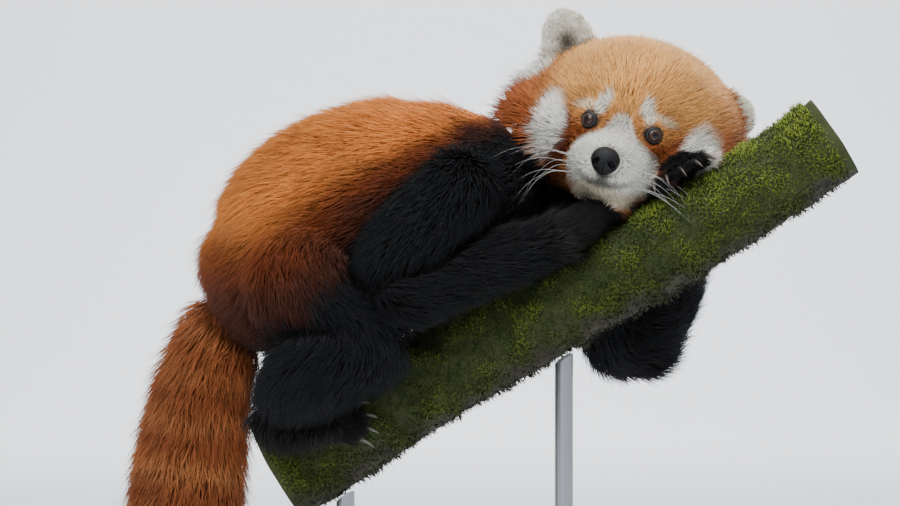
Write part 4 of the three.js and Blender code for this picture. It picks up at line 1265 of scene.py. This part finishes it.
spokes = across[:, None] * np.cos(angle)[..., None] + above[:, None] * np.sin(angle)[..., None]
bark_base = (line[:, None] + spokes * (radius - 4.0)[..., None]).reshape(-1, 3)
lumps = rough(bark_base * [1, 1, 1], 24.0)
cracks = rough(bark_base @ np.diag([0.5, 1.6, 1.0]), 7.0, 2)
cushion = np.clip(rough(bark_base + 500, 17.0), -1, 1)
top_share = (spokes @ np.array([0, -0.35, 0.94])).reshape(-1)
mossy = smoothstep(-0.75, -0.05, top_share + 0.55 * cushion)
height = 1.6 * lumps + 1.0 * cracks * (1 - mossy) + 2.6 * mossy * (0.35 + cushion)
bark_points = bark_base + spokes.reshape(-1, 3) * np.clip(height, -4, 3.5)[:, None]
bark_rings = bark_points.reshape(BRANCH_ROWS, BRANCH_SIDES, 3)


def sawn_end(ring, sizes):
    """Rings that close a sawn end, each the last ring drawn in to a size."""
    middle = ring.mean(axis=0)
    return [middle + (ring - middle) * size for size in sizes]


near_end = sawn_end(bark_rings[0], (0.02, 0.5, 0.97))
far_end = sawn_end(bark_rings[-1], (0.97, 0.5, 0.02))
branch = mesh_object("branch_bark", *loft(near_end + list(bark_rings) + far_end))
moss_share = np.concatenate([np.zeros(3 * BRANCH_SIDES), mossy, np.zeros(3 * BRANCH_SIDES)])
layer = branch.data.attributes.new("moss_share", "FLOAT", "POINT")
layer.data.foreach_set("value", moss_share.astype(np.float32))
sawn = np.concatenate([np.ones(3 * BRANCH_SIDES), np.zeros(len(mossy)), np.ones(3 * BRANCH_SIDES)])
layer = branch.data.attributes.new("sawn_share", "FLOAT", "POINT")
layer.data.foreach_set("value", sawn.astype(np.float32))

bark_material, tree, shader = new_material("bark and moss bed")
place = add(tree, "TexCoord").outputs["Object"]
furrow = add(tree, "TexNoise", Scale=160.0, Detail=6.0, Roughness=0.65, Vector=place).outputs["Fac"]
patch = add(tree, "TexNoise", Scale=42.0, Detail=3.0, Vector=place).outputs["Fac"]
rings = add(tree, "TexNoise", Scale=60.0, Detail=2.0).outputs["Fac"]
bark_tone = ramp(tree, furrow, (0.32, (0.008, 0.006, 0.003)), (0.72, (0.034, 0.026, 0.012)))
lichen = ramp(tree, patch, (0.60, (0, 0, 0)), (0.68, (0.4, 0.4, 0.4)))
wood = ramp(tree, rings, (0, (0.24, 0.15, 0.07)), (1, (0.42, 0.29, 0.16)))
moss_here = add(tree, "Attribute", attribute_name="moss_share").outputs["Fac"]
sawn_here = add(tree, "Attribute", attribute_name="sawn_share").outputs["Fac"]
surface = blend(tree, lichen, bark_tone, (0.06, 0.068, 0.035, 1))
surface = blend(tree, moss_here, surface, (0.035, 0.045, 0.008, 1))
put(tree, shader.inputs["Base Color"], blend(tree, sawn_here, surface, wood))
shader.inputs["Roughness"].default_value = 0.9
emboss(tree, shader, furrow, 0.9, 0.0012)
branch.data.materials.append(bark_material)
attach(branch, "root")
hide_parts("perch_branch")
print("bark made")

# %% [markdown]
# ### Moss
# Moss reads as a carpet of short upright shoots with bright tips. Each shoot is the smallest closed
# solid there is, a thin four-faced spike, because there are tens of thousands of them.

# %% Moss shoots
MOSS_SHOOTS = 49500
draw = np.random.default_rng(5)
inner = np.arange(BRANCH_ROWS * BRANCH_SIDES).reshape(BRANCH_ROWS, BRANCH_SIDES)[3:-3].ravel()
chance = (0.3 + mossy[inner]) * (0.5 + 0.5 * np.clip(cushion[inner] + 0.5, 0, 1))
pick = draw.choice(inner, size=MOSS_SHOOTS, p=chance / chance.sum())
root = bark_points[pick] + draw.normal(0, 0.7, (MOSS_SHOOTS, 3))
out = spokes.reshape(-1, 3)[pick]
lean = unit(out + draw.normal(0, 0.55, root.shape) + np.array([0, 0, 0.15]))
shoot_length = draw.uniform(2.0, 5.2, MOSS_SHOOTS) * (0.6 + 0.6 * np.clip(cushion[pick] + 0.4, 0, 1))
side = unit(np.cross(lean, draw.normal(0, 1, root.shape)))
other = np.cross(lean, side)
half = draw.uniform(0.30, 0.60, MOSS_SHOOTS)[:, None]
corners = [side, -0.5 * side + 0.87 * other, -0.5 * side - 0.87 * other]
points = np.stack([root + c * half for c in corners] + [root + lean * shoot_length[:, None]], axis=1)
MOSS_DARK = tint(38, 48, 12)
MOSS_BROWN = tint(58, 50, 22)
MOSS_MID = tint(74, 94, 14)
MOSS_BRIGHT = tint(156, 176, 40)
# Moss tips are brighter on top and browner below: partly the moss's own fresh growth varying at random,
# partly painted light from above and painted shade underneath.
fresh_and_top_lit = 0.45 + 0.4 * ripple(root * 0.9) + 0.7 * cushion[pick] + draw.normal(0, 0.22, MOSS_SHOOTS)
fresh_and_top_lit = np.clip(fresh_and_top_lit, 0, 1) * (0.25 + 0.75 * smoothstep(-0.7, 0.3, top_share[pick]))
tip_tone = mix(np.tile(MOSS_MID, (MOSS_SHOOTS, 1)), MOSS_BRIGHT, fresh_and_top_lit)
lit = smoothstep(-0.8, 0.2, top_share[pick])
tip_tone = mix(np.tile(MOSS_BROWN, (MOSS_SHOOTS, 1)), tip_tone, lit)
base_tone = mix(np.tile(MOSS_DARK * 0.5, (MOSS_SHOOTS, 1)), MOSS_DARK, fresh_and_top_lit)
tones = np.stack([base_tone, base_tone, base_tone, tip_tone], axis=1)
SPIKE = np.array([(0, 2, 1), (0, 1, 3), (1, 2, 3), (2, 0, 3)])
moss, moss_mesh, _ = many_solids("moss", points, SPIKE)
moss_mesh.update(calc_edges=True)
paint(moss_mesh, np.clip(tones, 0, 1).reshape(-1, 3))
moss_material, tree, shader = new_material("moss shoots")
put(tree, shader.inputs["Base Color"], add(tree, "Attribute", attribute_name="coat_colour").outputs["Color"])
fleck = add(tree, "TexNoise", Scale=260.0).outputs["Fac"]
put(tree, shader.inputs["Roughness"], spread(tree, fleck, 0.55, 0.9))
moss_mesh.materials.append(moss_material)
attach(moss, "root")
print("moss made:", MOSS_SHOOTS, "shoots")

# %% [markdown]
# ## The display stand
# The base and the rods are right as solids, so they stay and only get a finish: satin black paint on the
# base and brushed steel on the rods.

# %% Finish of the stand
paint_material, tree, shader = new_material("satin black paint")
grain = add(tree, "TexNoise", Scale=900.0, Detail=3.0).outputs["Fac"]
broad = add(tree, "TexNoise", Scale=9.0, Detail=2.0).outputs["Fac"]
put(tree, shader.inputs["Roughness"], spread(tree, broad, 0.32, 0.5))
emboss(tree, shader, grain, 0.12, 0.0003)
shader.inputs["Base Color"].default_value = (0.022, 0.022, 0.024, 1)

steel_material, tree, shader = new_material("brushed steel")
shader.inputs["Metallic"].default_value = 1.0
place = add(tree, "TexCoord").outputs["Object"]
stretch = add(tree, "Mapping", Scale=(1, 1, 0.02), Vector=place).outputs["Vector"]
brush = add(tree, "TexNoise", Scale=1400.0, Detail=2.0, Vector=stretch).outputs["Fac"]
put(tree, shader.inputs["Roughness"], spread(tree, brush, 0.22, 0.42))
shader.inputs["Base Color"].default_value = (0.42, 0.42, 0.44, 1)


def refinish(node, material):
    node.data.materials.clear()
    node.data.materials.append(material)


refinish(nodes["stand_base"], paint_material)
refinish(nodes["stand_rod_1"], steel_material)
refinish(nodes["stand_rod_2"], steel_material)

# %% Put the skin and coat in place of the solids
for piece in coat:
    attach(piece, "root")
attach(skin, "root")
FLESH = ("head", "ear", "neck", "torso", "foreleg", "hindleg", "tail")
flesh = [n for n in nodes if n.startswith(FLESH)] + PAWS
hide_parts(*sorted(set(flesh)))

# %% [markdown]
# ## Room, light and camera
# The model stands on a pale floor that curves up behind it. A large soft light overhead stands in for an
# overcast sky, a weaker one from the front opens up the black legs, and one behind gives the coat its
# pale edge. The camera looks level from 2.5 m away, as in the photo.

# %% Floor and backdrop
profile = [(-8.0, 0.0), (8.0, 0.0)]
for a in np.linspace(0, math.pi / 2, 16):
    profile.append((8.0 + 1.2 * math.sin(a), 1.2 - 1.2 * math.cos(a)))
profile.append((9.2, 6.0))
points = [(x * 1000, y * 1000, z * 1000) for y, z in profile for x in (-8.0, 8.0)]
faces = [(2 * i, 2 * i + 1, 2 * i + 3, 2 * i + 2) for i in range(len(profile) - 1)]
floor = mesh_object("floor", points, faces)
floor_material, tree, shader = new_material("pale floor")
shader.inputs["Base Color"].default_value = (0.94, 0.95, 0.96, 1)
shader.inputs["Roughness"].default_value = 0.8
floor.data.materials.append(floor_material)


# %% Lights
def area_light(name, place, aim, size, power, colour=(1, 1, 1)):
    light = bpy.data.lights.new(name, "AREA")
    light.size = size
    light.energy = power
    light.color = colour
    lamp = bpy.data.objects.new(name, light)
    lamp.location = place
    lamp.rotation_euler = (Vector(aim) - Vector(place)).to_track_quat("-Z", "Y").to_euler()
    bpy.context.scene.collection.objects.link(lamp)


AIM = (0, 0, 0.48)
area_light("sky", (0.1, -0.5, 2.6), AIM, 2.4, 64, (0.97, 0.99, 1.0))
area_light("front", (-1.0, -2.0, 2.1), AIM, 1.1, 34)
area_light("rim", (0.9, 1.5, 1.6), AIM, 1.2, 30, (0.97, 0.99, 1.0))
area_light("backdrop", (0, 6.8, 4.4), (0, 9.2, 0.8), 3.0, 300)
world = bpy.data.worlds.new("studio")
bpy.context.scene.world = world
world.use_nodes = True
world.node_tree.nodes["Background"].inputs["Color"].default_value = (0.85, 0.9, 1.0, 1)
world.node_tree.nodes["Background"].inputs["Strength"].default_value = 0.75

# %% Camera
VIEW_WIDTH = 585
VIEW_HEIGHT = 487.3
VIEW_DISTANCE = 2500
camera_data = bpy.data.cameras.new("camera")
camera_data.sensor_width = 36
camera_data.lens = 36 * VIEW_DISTANCE / VIEW_WIDTH
camera = bpy.data.objects.new("camera", camera_data)
camera.location = (0, -VIEW_DISTANCE * MM, VIEW_HEIGHT * MM)
camera.rotation_euler = (math.radians(90), 0, 0)
bpy.context.scene.collection.objects.link(camera)
bpy.context.scene.camera = camera
